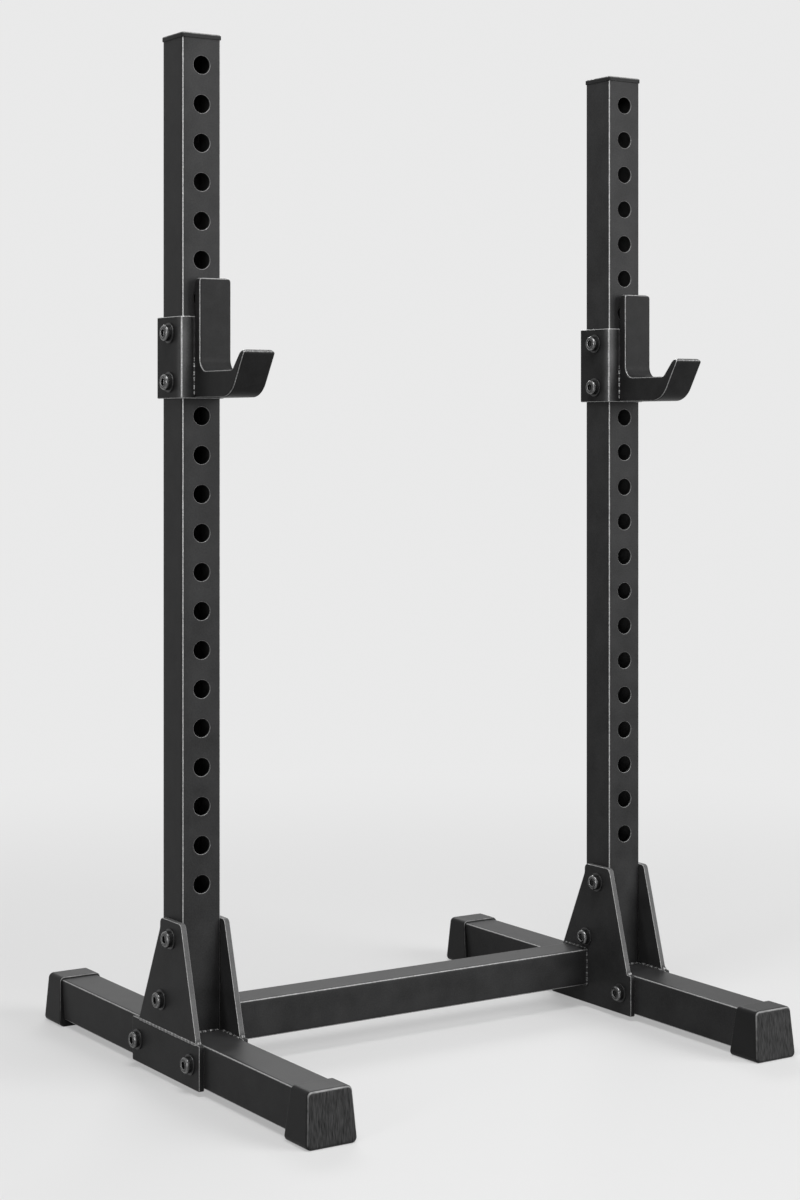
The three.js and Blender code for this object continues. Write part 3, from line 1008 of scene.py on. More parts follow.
@cache
def rub_and_highlight_group() -> bpy.types.NodeTree:
    """Makes the group that rubs a coat bright where the wear mask says, in broken patches: worn
    coat, and along edges and bends a painted highlight.

    Returns:
        The node group.
    """
    detail, rough, patch_swing, threshold, gain = 5.0, 0.6, 1.9, 0.2, 1.3
    tree = Tree.group(
        "rubbed and highlighted edge",
        {
            "Place": ORIGIN, "Wear": 0, "Amount": 1.0, "Breakup Scale": 250,
            "Color": MID_GREY, "Rubbed Color": MID_GREY,
            "Roughness": 0.5, "Rubbed Roughness": 0.35,
            "Metallic": 0, "Rubbed Metallic": 0.6,
        },
        {"Color": MID_GREY, "Roughness": 0, "Metallic": 0},
    )
    inlet = tree.inlet
    noise = tree.noise(inlet["Place"], inlet["Breakup Scale"], detail, rough)
    patches = tree.math("MULTIPLY_ADD", tree.math("SUBTRACT", noise, 0.5), patch_swing, 1.0)
    strength = tree.math("MULTIPLY", tree.math("MULTIPLY", inlet["Wear"], inlet["Amount"]), patches)
    mask = tree.math("MULTIPLY", tree.math("SUBTRACT", strength, threshold), gain, clamp=True)
    tree.link(tree.mix_color(mask, inlet["Color"], inlet["Rubbed Color"]), tree.outlet["Color"])
    for name in ("Roughness", "Metallic"):
        tree.link(tree.mix(mask, inlet[name], inlet[f"Rubbed {name}"]), tree.outlet[name])
    return tree.tree


@cache
def grain_group() -> bpy.types.NodeTree:
    """Makes the group that gives a height of fine grain on coarser waves.

    Returns:
        The node group.
    """
    tree = Tree.group(
        "surface grain",
        {"Place": ORIGIN, "Grain Scale": 900, "Wave Scale": 120, "Wave Share": 0.5},
        {"Height": 0},
    )
    inlet = tree.inlet
    fine = tree.noise(inlet["Place"], inlet["Grain Scale"], 3.0)
    wave = tree.noise(inlet["Place"], inlet["Wave Scale"], 2.0)
    tree.link(tree.mix(inlet["Wave Share"], fine, wave), tree.outlet["Height"])
    return tree.tree


@cache
def streak_group() -> bpy.types.NodeTree:
    """Makes the group that draws upright streaks where the mask says, in colour and in height.

    Returns:
        The node group.
    """
    upright_stretch, contrast, darkest = (1.0, 1.0, 0.014), 4.0, 0.2
    tree = Tree.group(
        "upright streaks",
        {"Place": ORIGIN, "Mask": 0, "Color": MID_GREY, "Scale": 600, "Depth": 0.5},
        {"Color": MID_GREY, "Height": 0},
    )
    inlet = tree.inlet
    stretch = tree.node("ShaderNodeVectorMath", operation="MULTIPLY")
    tree.link(inlet["Place"], stretch.inputs[0])
    tree.link(upright_stretch, stretch.inputs[1])
    noise = tree.noise(stretch.outputs["Vector"], inlet["Scale"], 1.0)
    streak = tree.math("MULTIPLY", tree.math("SUBTRACT", noise, 0.5), inlet["Mask"])
    depth = tree.math("MULTIPLY", inlet["Depth"], contrast)
    factor = tree.math("MAXIMUM", tree.math("MULTIPLY_ADD", streak, depth, 1.0), darkest)
    tree.link(tree.scale_color(inlet["Color"], factor), tree.outlet["Color"])
    tree.link(streak, tree.outlet["Height"])
    return tree.tree


@dataclass(frozen=True)
class Finish:
    """One finish: its colour, gloss, unevenness, rub and grain. Scales are in features a metre.

    Its special region is streaked where it has a streak scale, and takes its region tint where it
    has one; on the hook coat that tint is a painted sheen beside the sleeve's front bends.
    """

    name: str
    color: tuple
    # rubbed: worn metal, and also the painted highlight along edges and bends
    rubbed: tuple
    roughness: float
    rubbed_roughness: float
    metallic: float = 0.0
    rubbed_metallic: float = 0.5
    specular: float = 0.5
    cloud_scale: float = 35.0
    cloud_depth: float = 0.22
    speck_scale: float = 900.0
    speck_depth: float = 0.25
    roughness_swing: float = 0.12
    rub: float = 1.0
    breakup_scale: float = 260.0
    grain_scale: float = 900.0
    wave_scale: float = 140.0
    wave_share: float = 0.4
    grain_depth: float = 0.00006
    streak_scale: float = 0.0
    streak_depth: float = 0.5
    streak_height: float = 2.0
    region_tint: tuple = ()

    def material(self) -> bpy.types.Material:
        """Gives the finish's material, made on its first use."""
        return bpy.data.materials.get(self.name) or self.make()

    def make(self) -> bpy.types.Material:
        """Makes the material: uneven colour, then rubbed edges, which also carry painted
        highlights, with the grain as a bump.

        Returns:
            The new material.
        """
        material = bpy.data.materials.new(self.name)
        material.use_nodes = True
        tree = Tree(material.node_tree)
        shader = material.node_tree.nodes["Principled BSDF"]
        place = tree.node("ShaderNodeTexCoord").outputs["Object"]
        wear, region = (
            tree.node("ShaderNodeAttribute", attribute_name=name).outputs["Fac"]
            for name in ("wear", "region")
        )
        color = (*self.color, 1.0)
        if self.region_tint:
            color = tree.mix_color(region, color, (*self.region_tint, 1.0))
        uneven = tree.use(mottle_group(), self, Place=place, Color=color)
        roughness = tree.math("MULTIPLY_ADD", uneven["Tone"], self.roughness_swing, self.roughness)
        color, streaks = uneven["Color"], None
        if self.streak_scale:
            streaks = tree.use(
                streak_group(), self, Place=place, Mask=region, Color=color,
                Scale=self.streak_scale, Depth=self.streak_depth,
            )
            color = streaks["Color"]
        rubbed = tree.use(
            rub_and_highlight_group(), self, Place=place, Wear=wear, Amount=self.rub, Color=color,
            Rubbed_Color=(*self.rubbed, 1.0), Roughness=roughness,
        )
        grain = tree.use(grain_group(), self, Place=place)
        bump = tree.node("ShaderNodeBump")
        bump.inputs["Strength"].default_value = 1.0
        bump.inputs["Distance"].default_value = self.grain_depth
        height = grain["Height"]
        if streaks is not None:
            height = tree.math("MULTIPLY_ADD", streaks["Height"], self.streak_height, height)
        tree.link(height, bump.inputs["Height"])
        tree.link(rubbed["Color"], shader.inputs["Base Color"])
        for name in ("Roughness", "Metallic"):
            tree.link(rubbed[name], shader.inputs[name])
        tree.link(bump.outputs["Normal"], shader.inputs["Normal"])
        shader.inputs["Specular IOR Level"].default_value = self.specular
        return material


FINISHES = {
    Slot.FRAME: Finish(
        "black powder coat", (0.034, 0.034, 0.0344), (0.55, 0.55, 0.55), 0.42, 0.36,
        rubbed_metallic=0.4, specular=0.06, cloud_scale=18.0, cloud_depth=0.5, speck_scale=380.0,
        speck_depth=0.32, roughness_swing=0.2, grain_depth=0.0001, breakup_scale=420.0,
        region_tint=(0.62, 0.62, 0.62),
    ),
    # Its region tint is a painted sheen beside the sleeve's front bends.
    Slot.HOOK: Finish(
        "smooth black coat", (0.021, 0.021, 0.0212), (0.6, 0.6, 0.6), 0.36, 0.32,
        rubbed_metallic=0.4, specular=0.05, cloud_depth=0.5, roughness_swing=0.2,
        speck_scale=380.0, speck_depth=0.32, breakup_scale=420.0, region_tint=(0.11, 0.11, 0.111),
    ),
    Slot.BEAD: Finish(
        "coated weld", (0.03, 0.03, 0.0305), (0.5, 0.5, 0.5), 0.42, 0.34,
        specular=0.1, speck_scale=600, rub=1.1, breakup_scale=330,
    ),
    Slot.BOOT: Finish(
        "black rubber", (0.012, 0.012, 0.0122), (0.36, 0.36, 0.36), 0.48, 0.45,
        rubbed_metallic=0.0, specular=0.12, breakup_scale=60, speck_scale=1400, grain_scale=1300,
        grain_depth=0.0001, rub=0.9, streak_scale=640, streak_depth=0.8, streak_height=4.0,
        region_tint=(0.03, 0.03, 0.0302),
    ),
    Slot.CAP: Finish(
        "moulded black plastic", (0.02, 0.02, 0.0202), (0.3, 0.3, 0.3), 0.45, 0.4,
        rubbed_metallic=0.0, specular=0.07, speck_depth=0.12, rub=0.9,
    ),
    Slot.SCREW: Finish(
        "black oxide screw", (0.045, 0.045, 0.0455), (0.5, 0.5, 0.5), 0.24, 0.24,
        metallic=0.7, rubbed_metallic=0.8, speck_scale=1500, grain_scale=1500, grain_depth=0.00003,
    ),
    Slot.WASHER: Finish(
        "dark plated steel", (0.03, 0.03, 0.0305), (0.5, 0.5, 0.5), 0.4, 0.32,
        metallic=0.5, rubbed_metallic=0.7, speck_scale=1500, grain_scale=1500, grain_depth=0.00003,
    ),
    Slot.PEG: Finish(
        "dark steel pin", (0.10, 0.10, 0.105), (0.42, 0.42, 0.43), 0.34, 0.26,
        metallic=0.9, rubbed_metallic=0.9, speck_scale=1200, grain_depth=0.00003,
    ),
}


# The stand


@dataclass(frozen=True)
class Fastener:
    """The sizes that the stand's screws, washers and nuts share."""

    socket_flat: float = 0.012
    socket_depth: float = 0.006
    socket_lead: float = 0.0008
    socket_corner: float = 0.0006
    socket_break: float = 0.0001
    floor_share: float = 0.3
    floor_drop: float = 1.04
    head_height: float = 0.011
    head_radius: float = 0.0142
    shoulder: float = 0.0055
    shoulder_steps: int = 7
    shoulder_wear: float = 0.4
    shank_radius: float = 0.009
    thread_depth: float = 0.0007
    thread_pitch: float = 0.0016
    threads: int = 3
    edge: float = 0.0007
    flange: float = 0.003
    nut_flat: float = 0.027
    crown_start: float = 0.0026
    crown_middle: float = 0.0016
    crown_lead: float = 0.0004
    crown_run: float = 0.0012
    bore_play: float = 0.0003
    hole_play: float = 0.0005

    @property
    def hole_radius(self) -> float:
        """The radius of the hole that a screw goes through."""
        return self.shank_radius + self.hole_play

    def turn(
        self, name: str, slot: Slot, body: str, node: str, rings: list, closed: bool = False
    ) -> None:
        """Makes a piece that is turned about its node's middle line along X.

        Args:
            name: The piece's name.
            slot: The finish that it wears.
            body: The body that it rides on.
            node: The node that it stands for.
            rings: Its rings, as the function turned takes them.
            closed: Whether it has a bore.
        """
        centre = Box.of(node).centre
        skin = Skin(Lie.ALONG_X, (0, centre.y, centre.z))
        turned(skin, rings, closed)
        skin.piece(name, slot, body, node)

    def screw(self, name: str, body: str, node: str) -> None:
        """Makes a socket screw: hexagon socket, round shoulder, plain shank, cut thread.

        The shoulder is a quarter circle, and each thread is a groove between two crests.

        Args:
            name: The piece's name.
            body: The body that it rides on.
            node: The node that it stands for.
        """
        box = Box.of(node)
        top, tip = box.low.x, box.high.x
        socket, flat = self.socket_flat / 2, self.head_radius - self.shoulder
        seat, shank = top + self.head_height, self.shank_radius
        corner, slight = self.socket_corner, self.socket_break
        rings = [
            (socket * self.floor_share, top + self.socket_depth * self.floor_drop, 1, 0),
            (socket - corner, top + self.socket_depth, 1, 0),
            (socket, top + self.socket_depth - corner, 1, 0),
            (socket, top + self.socket_lead * 2, 1, 0),
            # The socket's rim is rubbed bright: worn oxide and a painted glint.
            (socket + slight, top + self.socket_lead, 1, 0.4),
            (socket + self.socket_lead, top + slight, 0.9, 0.55),
            (socket + self.socket_lead * 1.6, top, 0.5, 0.1),
            (flat, top, 0, 0),
        ]
        # The shoulder is rubbed bright: worn oxide and a painted glint along it.
        for angle in np.linspace(0, QUARTER_TURN, self.shoulder_steps + 1)[1:]:
            run, fall = self.shoulder * math.sin(angle), self.shoulder * (1 - math.cos(angle))
            wear = self.shoulder_wear * math.sin(2 * angle)
            rings.append((flat + run, top + fall, 0, wear))
        rings += [
            (self.head_radius, seat - 2 * self.edge, 0, 0),
            (self.head_radius, seat - self.edge, 0, 0.5),
            (self.head_radius - self.edge, seat, 0, 0),
            (shank, seat, 0, 0),
        ]
        start = tip - self.threads * self.thread_pitch
        for thread in range(self.threads):
            crest = start + thread * self.thread_pitch
            rings += [
                (shank, crest, 0, 0.4),
                (shank, crest + self.thread_pitch * 0.15, 0, 0.6),
                (shank - self.thread_depth, crest + self.thread_pitch * 0.55, 0, 0),
            ]
        rings += [
            (shank - self.edge, tip - self.edge / 2, 0, 0.8),
            (shank - 2 * self.edge, tip, 0, 0.3),
        ]
        self.turn(name, Slot.SCREW, body, node, rings)

    def ring(self, name: str, body: str, node: str) -> None:
        """Makes a washer with rounded edges.

        Args:
            name: The piece's name.
            body: The body that it rides on.
            node: The node that it stands for.
        """
        box = Box.of(node)
        low, high = box.low.x, box.high.x
        outer, bore, edge = box.size.y / 2, self.hole_radius, self.edge
        rings = [
            (bore, low + edge, 0, 0),
            (bore + edge, low, 0, 0.2),
            (bore + 2 * edge, low, 0, 0),
            (outer - 2 * edge, low, 0, 0),
            # The outer rim's rub paints a thin highlight on it as well as worn plating.
            (outer - edge, low, 0, 0.05),
            (outer - 0.3 * edge, low + 0.3 * edge, 0, 0.25),
            (outer, low + edge, 0, 0.2),
            (outer, high - edge, 0, 0.1),
            (outer - edge, high, 0, 0),
            (bore + edge, high, 0, 0),
            (bore, high - edge, 0, 0),
        ]
        self.turn(name, Slot.WASHER, body, node, rings, closed=True)

    def nut(self, name: str, body: str, node: str) -> None:
        """Makes a flanged hexagon nut, its free end's corners turned off.

        Args:
            name: The piece's name.
            body: The body that it rides on.
            node: The node that it stands for.
        """
        box = Box.of(node)
        low, high = box.low.x, box.high.x
        outer, flat, edge = box.size.y / 2, self.nut_flat / 2, self.edge
        bore = self.shank_radius + self.bore_play
        rings = [
            (bore, low + edge, 0, 0),
            (bore + edge, low, 0, 0),
            (outer - edge, low, 0, 0),
            (outer, low + edge, 0, 0.8),
            (outer, low + self.flange * 0.55, 0, 0.9),
            (outer - edge, low + self.flange * 0.75, 0, 0.9),
            (flat * 1.12, low + self.flange * 1.1, 0.35, 0.2),
            (flat, low + self.flange * 1.4, 1, 0.1),
            (flat, high - self.crown_start, 1, 0.2),
            (flat, high - self.crown_middle, 0.72, 0.7),
            (flat - self.crown_lead, high - self.crown_lead, 0.3, 0.8),
            (flat - self.crown_run, high, 0.1, 0.3),
            (bore + 2 * edge, high, 0, 0.1),
            (bore + edge, high - 0.2 * edge, 0, 0.8),
            (bore, high - edge, 0, 0),
        ]
        self.turn(name, Slot.WASHER, body, node, rings, closed=True)


FASTENER = Fastener()


def loft(skin: Skin, stations: Table, steps: int = 6) -> None:
    """Adds a closed loft through rounded squares, with flat ends.

    Args:
        skin: The skin that takes the surface.
        stations: The sections, each as half width, corner radius, place along the axis and wear.
        steps: The number of steps in each corner.
    """
    rings = []
    for half, radius, along, _ in stations:
        loop = square_loop(half, radius, steps)
        rings.append(np.concatenate([loop, np.full((len(loop), 1), along)], axis=-1))
    wear = np.array([station[3] for station in stations])[:, None]
    skin.sweep(skin.add(np.stack(rings), wear))


@dataclass(frozen=True)
class Post:
    """A drilled square upright with its cap."""

    side: str
    pitch: float = 0.0675
    hole_radius: float = 0.016
    top_margin: float = 0.046
    low_margin: float = 0.04
    cap_edge: float = 0.0024
    cap_band: float = 0.0015
    edge_steps: int = 4
    edge_wear: float = 0.4
    rim_edge: float = 0.0006
    plug_wall: float = 0.003
    plug_play: float = 0.0005
    plug_lead: tuple = (0.0008, 0.001)
    mouth_edge: float = 0.0004

    def build(self) -> None:
        """Makes the tube and the cap."""
        self.build_tube()
        self.build_cap()

    def build_tube(self) -> None:
        """Makes the tube, drilled front to back for the hooks and side to side for the screws."""
        node = f"{self.side}_upright"
        box = Box.of(node)
        centre = box.centre
        top = box.high.z - self.top_margin
        lowest = Box.of(f"{self.side}_outer_gusset_plate").high.z + self.low_margin
        drillings = []
        for index in range(int((top - lowest) / self.pitch) + 1):
            along = top - index * self.pitch
            drillings += Drilling.through(0, 0, along, self.hole_radius, self.pitch / 2)
        for place in ("upper", "middle"):
            bolt = Box.of(f"{self.side}_{place}_gusset_bolt").centre
            radius = FASTENER.hole_radius
            drillings += Drilling.through(1, bolt.y - centre.y, bolt.z, radius, 2 * radius)
        skin = Skin(Lie.ALONG_Z, (centre.x, centre.y, 0))
        SquareTube(box.size.x, box.low.z, box.high.z, tuple(drillings)).build(skin)
        skin.piece(f"{self.side}_drilled_post", Slot.FRAME, "frame", node)

    def build_cap(self) -> None:
        """Makes the cap: a flange with rounded edges, and a hollow plug inside the tube."""
        node = f"{self.side}_top_cap"
        box = Box.of(node)
        seat = Box.of(f"{self.side}_upright").high.z
        half, top, edge = box.size.x / 2, box.high.z, self.cap_edge
        bend, inner_bend = SquareTube.bend, SquareTube.inner_bend
        rim, lead, mouth = self.rim_edge, self.plug_lead, self.mouth_edge
        plug = Box.of(f"{self.side}_upright").size.x / 2 - SquareTube.wall - self.plug_play
        hollow = plug - self.plug_wall
        stations = [(half - edge - self.cap_band, bend, top, 0.0)]
        for angle in np.linspace(0, QUARTER_TURN, self.edge_steps + 1):
            rise, run = math.cos(angle), math.sin(angle)
            wear = self.edge_wear + (1 - self.edge_wear) * math.sin(2 * angle)
            stations.append((half - edge * (1 - run), bend, top - edge * (1 - rise), wear))
        stations += [
            (half, bend, top - edge - self.cap_band, 0.0),
            (half, bend, seat + 2 * rim, 0.0),
            (half, bend, seat + rim, 0.3),
            (half - rim, bend, seat, 0.2),
            (plug, bend, seat, 0.0),
            (plug, bend, box.low.z + lead[1], 0.0),
            (plug - lead[0], bend, box.low.z, 0.0),
            (hollow + mouth, inner_bend, box.low.z, 0.0),
            (hollow, inner_bend, box.low.z + mouth, 0.0),
            (hollow, inner_bend, seat, 0.0),
        ]
        skin = Skin(Lie.ALONG_Z, (box.centre.x, box.centre.y, 0))
        loft(skin, stations)
        skin.piece(f"{self.side}_post_cap", Slot.CAP, "frame", node)


@dataclass(frozen=True)
class Skid:
    """A square base tube with a rubber boot on either end."""

    side: str
    boot_top: float = 0.083
    boot_corner: float = 0.0095
    outer_edge: Edge = Edge(0.006, band=0.0012, steps=8, power=4)
    # The socket mouth's edge is rubbed bright: worn rubber and a painted highlight.
    inner_edge: Edge = Edge(0.0025, band=0.002, rub=0.9)
    # Rub by height, strongest near the top: worn rubber and painted highlight.
    rub_and_highlight_by_height: tuple = ((0.0, 0.15, 0.9, 0.99), (0.0, 0.55, 0.62, 1.0))
    streak_fade: float = 1.5
    inner_flare: float = 0.014
    outer_flare: float = 0.009
    socket_play: float = 0.0003
    face_grid: float = 0.006

    def build(self) -> None:
        """Makes the tube and both boots."""
        self.build_tube()
        self.build_boot("front", -1)
        self.build_boot("rear", 1)

    def build_tube(self) -> None:
        """Makes the tube, drilled side to side for two screws."""
        node = f"{self.side}_base_tube"
        box = Box.of(node)
        centre = box.centre
        drillings = []
        for place in ("front", "rear"):
            bolt = Box.of(f"{self.side}_{place}_gusset_bolt").centre
            radius = FASTENER.hole_radius
            drillings += Drilling.through(0, bolt.z - centre.z, bolt.y, radius, 2 * radius)
        skin = Skin(Lie.ALONG_Y, (centre.x, 0, centre.z))
        SquareTube(box.size.x, box.low.y, box.high.y, tuple(drillings)).build(skin)
        skin.piece(f"{self.side}_base_rail", Slot.FRAME, "frame", node)

    def build_boot(self, end: str, way: int) -> None:
        """Makes a boot: a flared block with rounded edges, a streaked end and a blind socket.

        Its section is a rounded square whose width grows evenly towards the floor. Its two ends
        lean outwards in the same way, so a point's place along the tube is a share of the way from
        the inner end to the outer end at its own height.

        Args:
            end: The name of the boot's end of the tube.
            way: 1 for the end towards +Y, and -1 for the other.
        """
        node = f"{self.side}_{end}_boot"
        box, tube = Box.of(node), Box.of(f"{self.side}_base_tube")
        height, low_half = box.high.z, box.size.x / 2
        top_half = self.boot_top / 2
        reach = max(abs(box.low.y), abs(box.high.y))
        start = min(abs(box.low.y), abs(box.high.y))

        def carry(loop: Array, share: Array) -> Array:
            """Carries a section's points to their place between the inner and the outer end.

            Args:
                loop: The section's points, as their places across and up.
                share: The share of the way from the inner end to the outer end.

            Returns:
                The points, with X from the tube's middle.
            """
            fall = 1 - loop[..., 1] / height
            near = start + self.inner_flare * (1 - fall)
            far = reach - self.outer_flare * (1 - fall)
            along = near + (far - near) * share
            return np.stack([way * loop[..., 0], way * along, loop[..., 1]], axis=-1)

        def section(inset: float) -> Array:
            """Works out the section at an inset: the rounded trapezoid's outline.

            Args:
                inset: How far the outline moves in.

            Returns:
                The outline's points, anticlockwise.
            """
            corners = (
                (-low_half, 0.0, self.boot_corner),
                (low_half, 0.0, self.boot_corner),
                (top_half, height, self.boot_corner),
                (-top_half, height, self.boot_corner),
            )
            return inset_loop(rounded_loop(corners), inset)

        length = reach - start
        outer, inner = self.outer_edge.stations(), self.inner_edge.stations()[::-1]
        rings = [carry(section(inset), np.array(1 - rise / length)) for inset, rise, _ in outer]
        rings += [carry(section(inset), np.array(rise / length)) for inset, rise, _ in inner]
        half = tube.size.x / 2 + self.socket_play
        mouth = square_loop(half, SquareTube.bend) + np.array([0, tube.centre.z])
        lip = carry(mouth, np.array(0.0))
        pocket = lip.copy()
        pocket[..., 1] = way * (abs(tube.high.y) + self.socket_play)
        rings = np.stack([*rings, lip, pocket])
        # Weights the edge rub, worn rubber and painted highlight, towards the top.
        top_weighting = np.interp(section(0.0)[:, 1] / height, *self.rub_and_highlight_by_height)
        wear = np.concatenate([outer[:, 2], inner[:, 2], [0, 0]])[:, None] * top_weighting
        streaked = np.zeros((len(rings), 1))
        fade = self.streak_fade * outer[:, 1] / self.outer_edge.radius
        streaked[: len(outer), 0] = np.clip(1 - fade, 0, 1)
        skin = Skin(origin=(tube.centre.x, 0, 0))
        index = skin.add(rings, wear, streaked)
        skin.grid(index)
        skin.lid(index[-1])
        self.streak_end(skin, index[0], section(outer[0, 0]), carry)
        skin.piece(f"{self.side}_{end}_rubber_foot", Slot.BOOT, "frame", node)

    def streak_end(self, skin: Skin, ring: Array, loop: Array, carry: Callable) -> None:
        """Adds a boot's flat end face, whose streaks fade in from its edge.

        Args:
            skin: The skin that takes the surface.
            ring: The indices round the face.
            loop: The outline round the face, in the section's own axes.
            carry: The function that carries the section's points to the end.
        """
        low, high = loop.min(axis=0), loop.max(axis=0)
        counts = ((high - low) / self.face_grid).astype(int) + 1
        lines = (np.linspace(low[axis], high[axis], counts[axis])[1:-1] for axis in (0, 1))
        across, up = np.meshgrid(*lines)
        inner = np.stack([across.ravel(), up.ravel()], axis=-1)
        room = np.interp(inner[:, 1], *self.half_widths(loop)) - np.abs(inner[:, 0])
        inner = inner[room > self.face_grid / 2]
        index = skin.add(carry(inner, np.array(1.0)), 0.0, 1.0)
        fill = flat_fill([loop], inner)
        skin.polygons.extend(np.concatenate([ring, index])[fill].tolist())

    @staticmethod
    def half_widths(loop: Array) -> tuple[Array, Array]:
        """Gives the heights and half widths of the right-hand side of an outline.

        Args:
            loop: The outline.

        Returns:
            The heights from low to high, and the half width at each.
        """
        right = loop[loop[:, 0] > 0]
        right = right[np.argsort(right[:, 1])]
        return right[:, 1], right[:, 0]


@dataclass(frozen=True)
class GussetSet:
    """The plates on both faces of an upright's foot, with their screws and weld beads."""

    side: str
    outward: int
    shoulder: float = 0.018
    front_lip: float = 0.012
    rear_inset: float = 0.0095
    corner: float = 0.01
    skirt_corner: float = 0.003
    shoulder_round: float = 0.02
    spacing: float = 0.012
    hole_steps: int = 32
    edge: Edge = Edge(0.0012, band=0.0012)
    edge_bareness: float = 0.14
    bare_from: float = 0.001
    corner_gap: float = 0.004
    foot_gap: float = 0.002
    foot_sink: float = 0.001
    toe_gap: float = 0.0006
    toe_sink: float = 0.0003
    seam: Bead = Bead(
        0.003, height=0.0009, span=HALF_TURN, ripple=0.008, wander=0.25, ripple_depth=0.05,
        crests=2, ripple_wear=0.1, break_depth=0.5,
    )
    foot_bead: Bead = Bead(
        0.0045, ripple=0.006, wander=0.5, ripple_depth=0.1, ripple_wear=0.3, rub=0.8
    )
    toe_bead: Bead = Bead(
        0.0068, ripple=0.005, wander=0.2, ripple_depth=0.25, taper=0.0022, ripple_wear=0.5
    )

    def build(self) -> None:
        """Makes the plates, the screws and the beads."""
        self.build_plates()
        for place in ("upper", "middle", "front", "rear"):
            stem = f"{self.side}_{place}_gusset"
            FASTENER.screw(f"{stem}_screw", "frame", f"{stem}_bolt")
            FASTENER.ring(f"{stem}_washer_ring", "frame", f"{stem}_washer")
            FASTENER.nut(f"{stem}_hex_nut", "frame", f"{stem}_nut")
        self.build_beads()

    def holes(self, *places: str) -> list:
        """Works out the screw holes, each as a circle in Y and Z.

        Args:
            *places: The names of the screws' places.

        Returns:
            The circles, clockwise.
        """
        spots = [Box.of(f"{self.side}_{place}_gusset_bolt").centre for place in places]
        radius, steps = FASTENER.hole_radius, self.hole_steps
        return [circle_loop((spot.y, spot.z), radius, steps) for spot in spots]

    def head(self, top: float) -> list:
        """Works out the corners of the gusset's head, from its rear shoulder to its front.

        Args:
            top: The gusset's top.

        Returns:
            The corners, each as Y, Z and radius.
        """
        post = Box.of(f"{self.side}_upright")
        front, rear = post.low.y - self.front_lip, post.high.y - self.rear_inset
        return [
            (rear, top - self.shoulder, self.shoulder_round),
            (rear, top, self.corner),
            (front, top, self.corner),
        ]

    def build_plates(self) -> None:
        """Makes the outer gusset, its skirt, and the inner gusset that is one with its skirt."""
        gusset = Box.of(f"{self.side}_outer_gusset_plate")
        skirt = Box.of(f"{self.side}_outer_side_plate")
        inner = Box.of(f"{self.side}_inner_gusset_plate")
        seam = gusset.low.z
        feet = [(gusset.low.y, seam, 0.0), (gusset.high.y, seam, 0.0)]
        head = self.head(gusset.high.z)
        turn = self.skirt_corner
        below = [(skirt.low.y, skirt.low.z, turn), (skirt.high.y, skirt.low.z, turn)]
        above = [(skirt.high.y, seam, turn), (skirt.low.y, seam, turn)]
        plates = (
            ("outer_gusset", gusset, [*feet, *head], ("upper", "middle"), "outer_gusset_plate"),
            ("outer_skirt", skirt, [*below, *above], ("front", "rear"), "outer_side_plate"),
            (
                "inner_gusset",
                inner,
                [*below, above[0], feet[1], *head, feet[0], above[1]],
                ("upper", "middle", "front", "rear"),
                "inner_gusset_plate",
            ),
        )
        for name, box, corners, places, node in plates:
            skin = Skin(Lie.ALONG_X, (box.low.x, 0, 0))
            outline = denser(rounded_loop(corners), self.spacing)
            region_tint = self.edge_bareness * (outline[:, 1] > seam + self.bare_from)
            slab(skin, outline, box.size.x, self.edge, self.holes(*places), rim_region=region_tint)
            skin.piece(f"{self.side}_{name}", Slot.FRAME, "frame", f"{self.side}_{node}")

    def build_beads(self) -> None:
        """Makes the beads: the outer seam, the post's foot, and the gussets' feet and toes."""
        gusset = Box.of(f"{self.side}_outer_gusset_plate")
        post = Box.of(f"{self.side}_upright")
        seam, middle = gusset.low.z, post.centre.x
        face = gusset.low.x if self.outward < 0 else gusset.high.x
        half = post.size.x / 2
        x_axis, y_axis, z_axis = np.eye(3)
        ends = (face, gusset.low.y, seam), (face, gusset.high.y, seam)
        runs = [("seam", self.seam, *ends, z_axis, self.outward * x_axis)]
        gap, foot = self.corner_gap, self.foot_gap
        for name, y, out in (("front", post.low.y, -y_axis), ("rear", post.high.y, y_axis)):
            ends = (middle - half + gap, y, seam), (middle + half - gap, y, seam)
            runs.append((f"post_{name}", self.foot_bead, *ends, out, z_axis))
        for sign in (-1, 1):
            label = "outer" if sign == self.outward else "inner"
            x = middle + sign * half
            for name, first, last in (
                ("front", gusset.low.y + foot, post.low.y - gap),
                ("rear", post.high.y + gap, gusset.high.y - foot),
            ):
                ends = ((x, y, seam - self.foot_sink) for y in (first, last))
                runs.append((f"{label}_{name}_foot", self.foot_bead, *ends, -sign * x_axis, z_axis))
            plate = Box.of(f"{self.side}_{label}_gusset_plate")
            for name, y, out in (("front", gusset.low.y, -y_axis), ("rear", gusset.high.y, y_axis)):
                edges = plate.low.x + self.toe_gap, plate.high.x - self.toe_gap
                ends = ((x, y, seam - self.toe_sink) for x in edges)
                runs.append((f"{label}_{name}_toe", self.toe_bead, *ends, out, z_axis))
        for name, bead, start, end, first, second in runs:
            path = np.linspace(start, end, 2)
            skin = Skin()
            bead.build(skin, path, np.stack([first, first]), np.stack([second, second]))
            skin.piece(f"{self.side}_{name}_bead", Slot.BEAD, "frame")


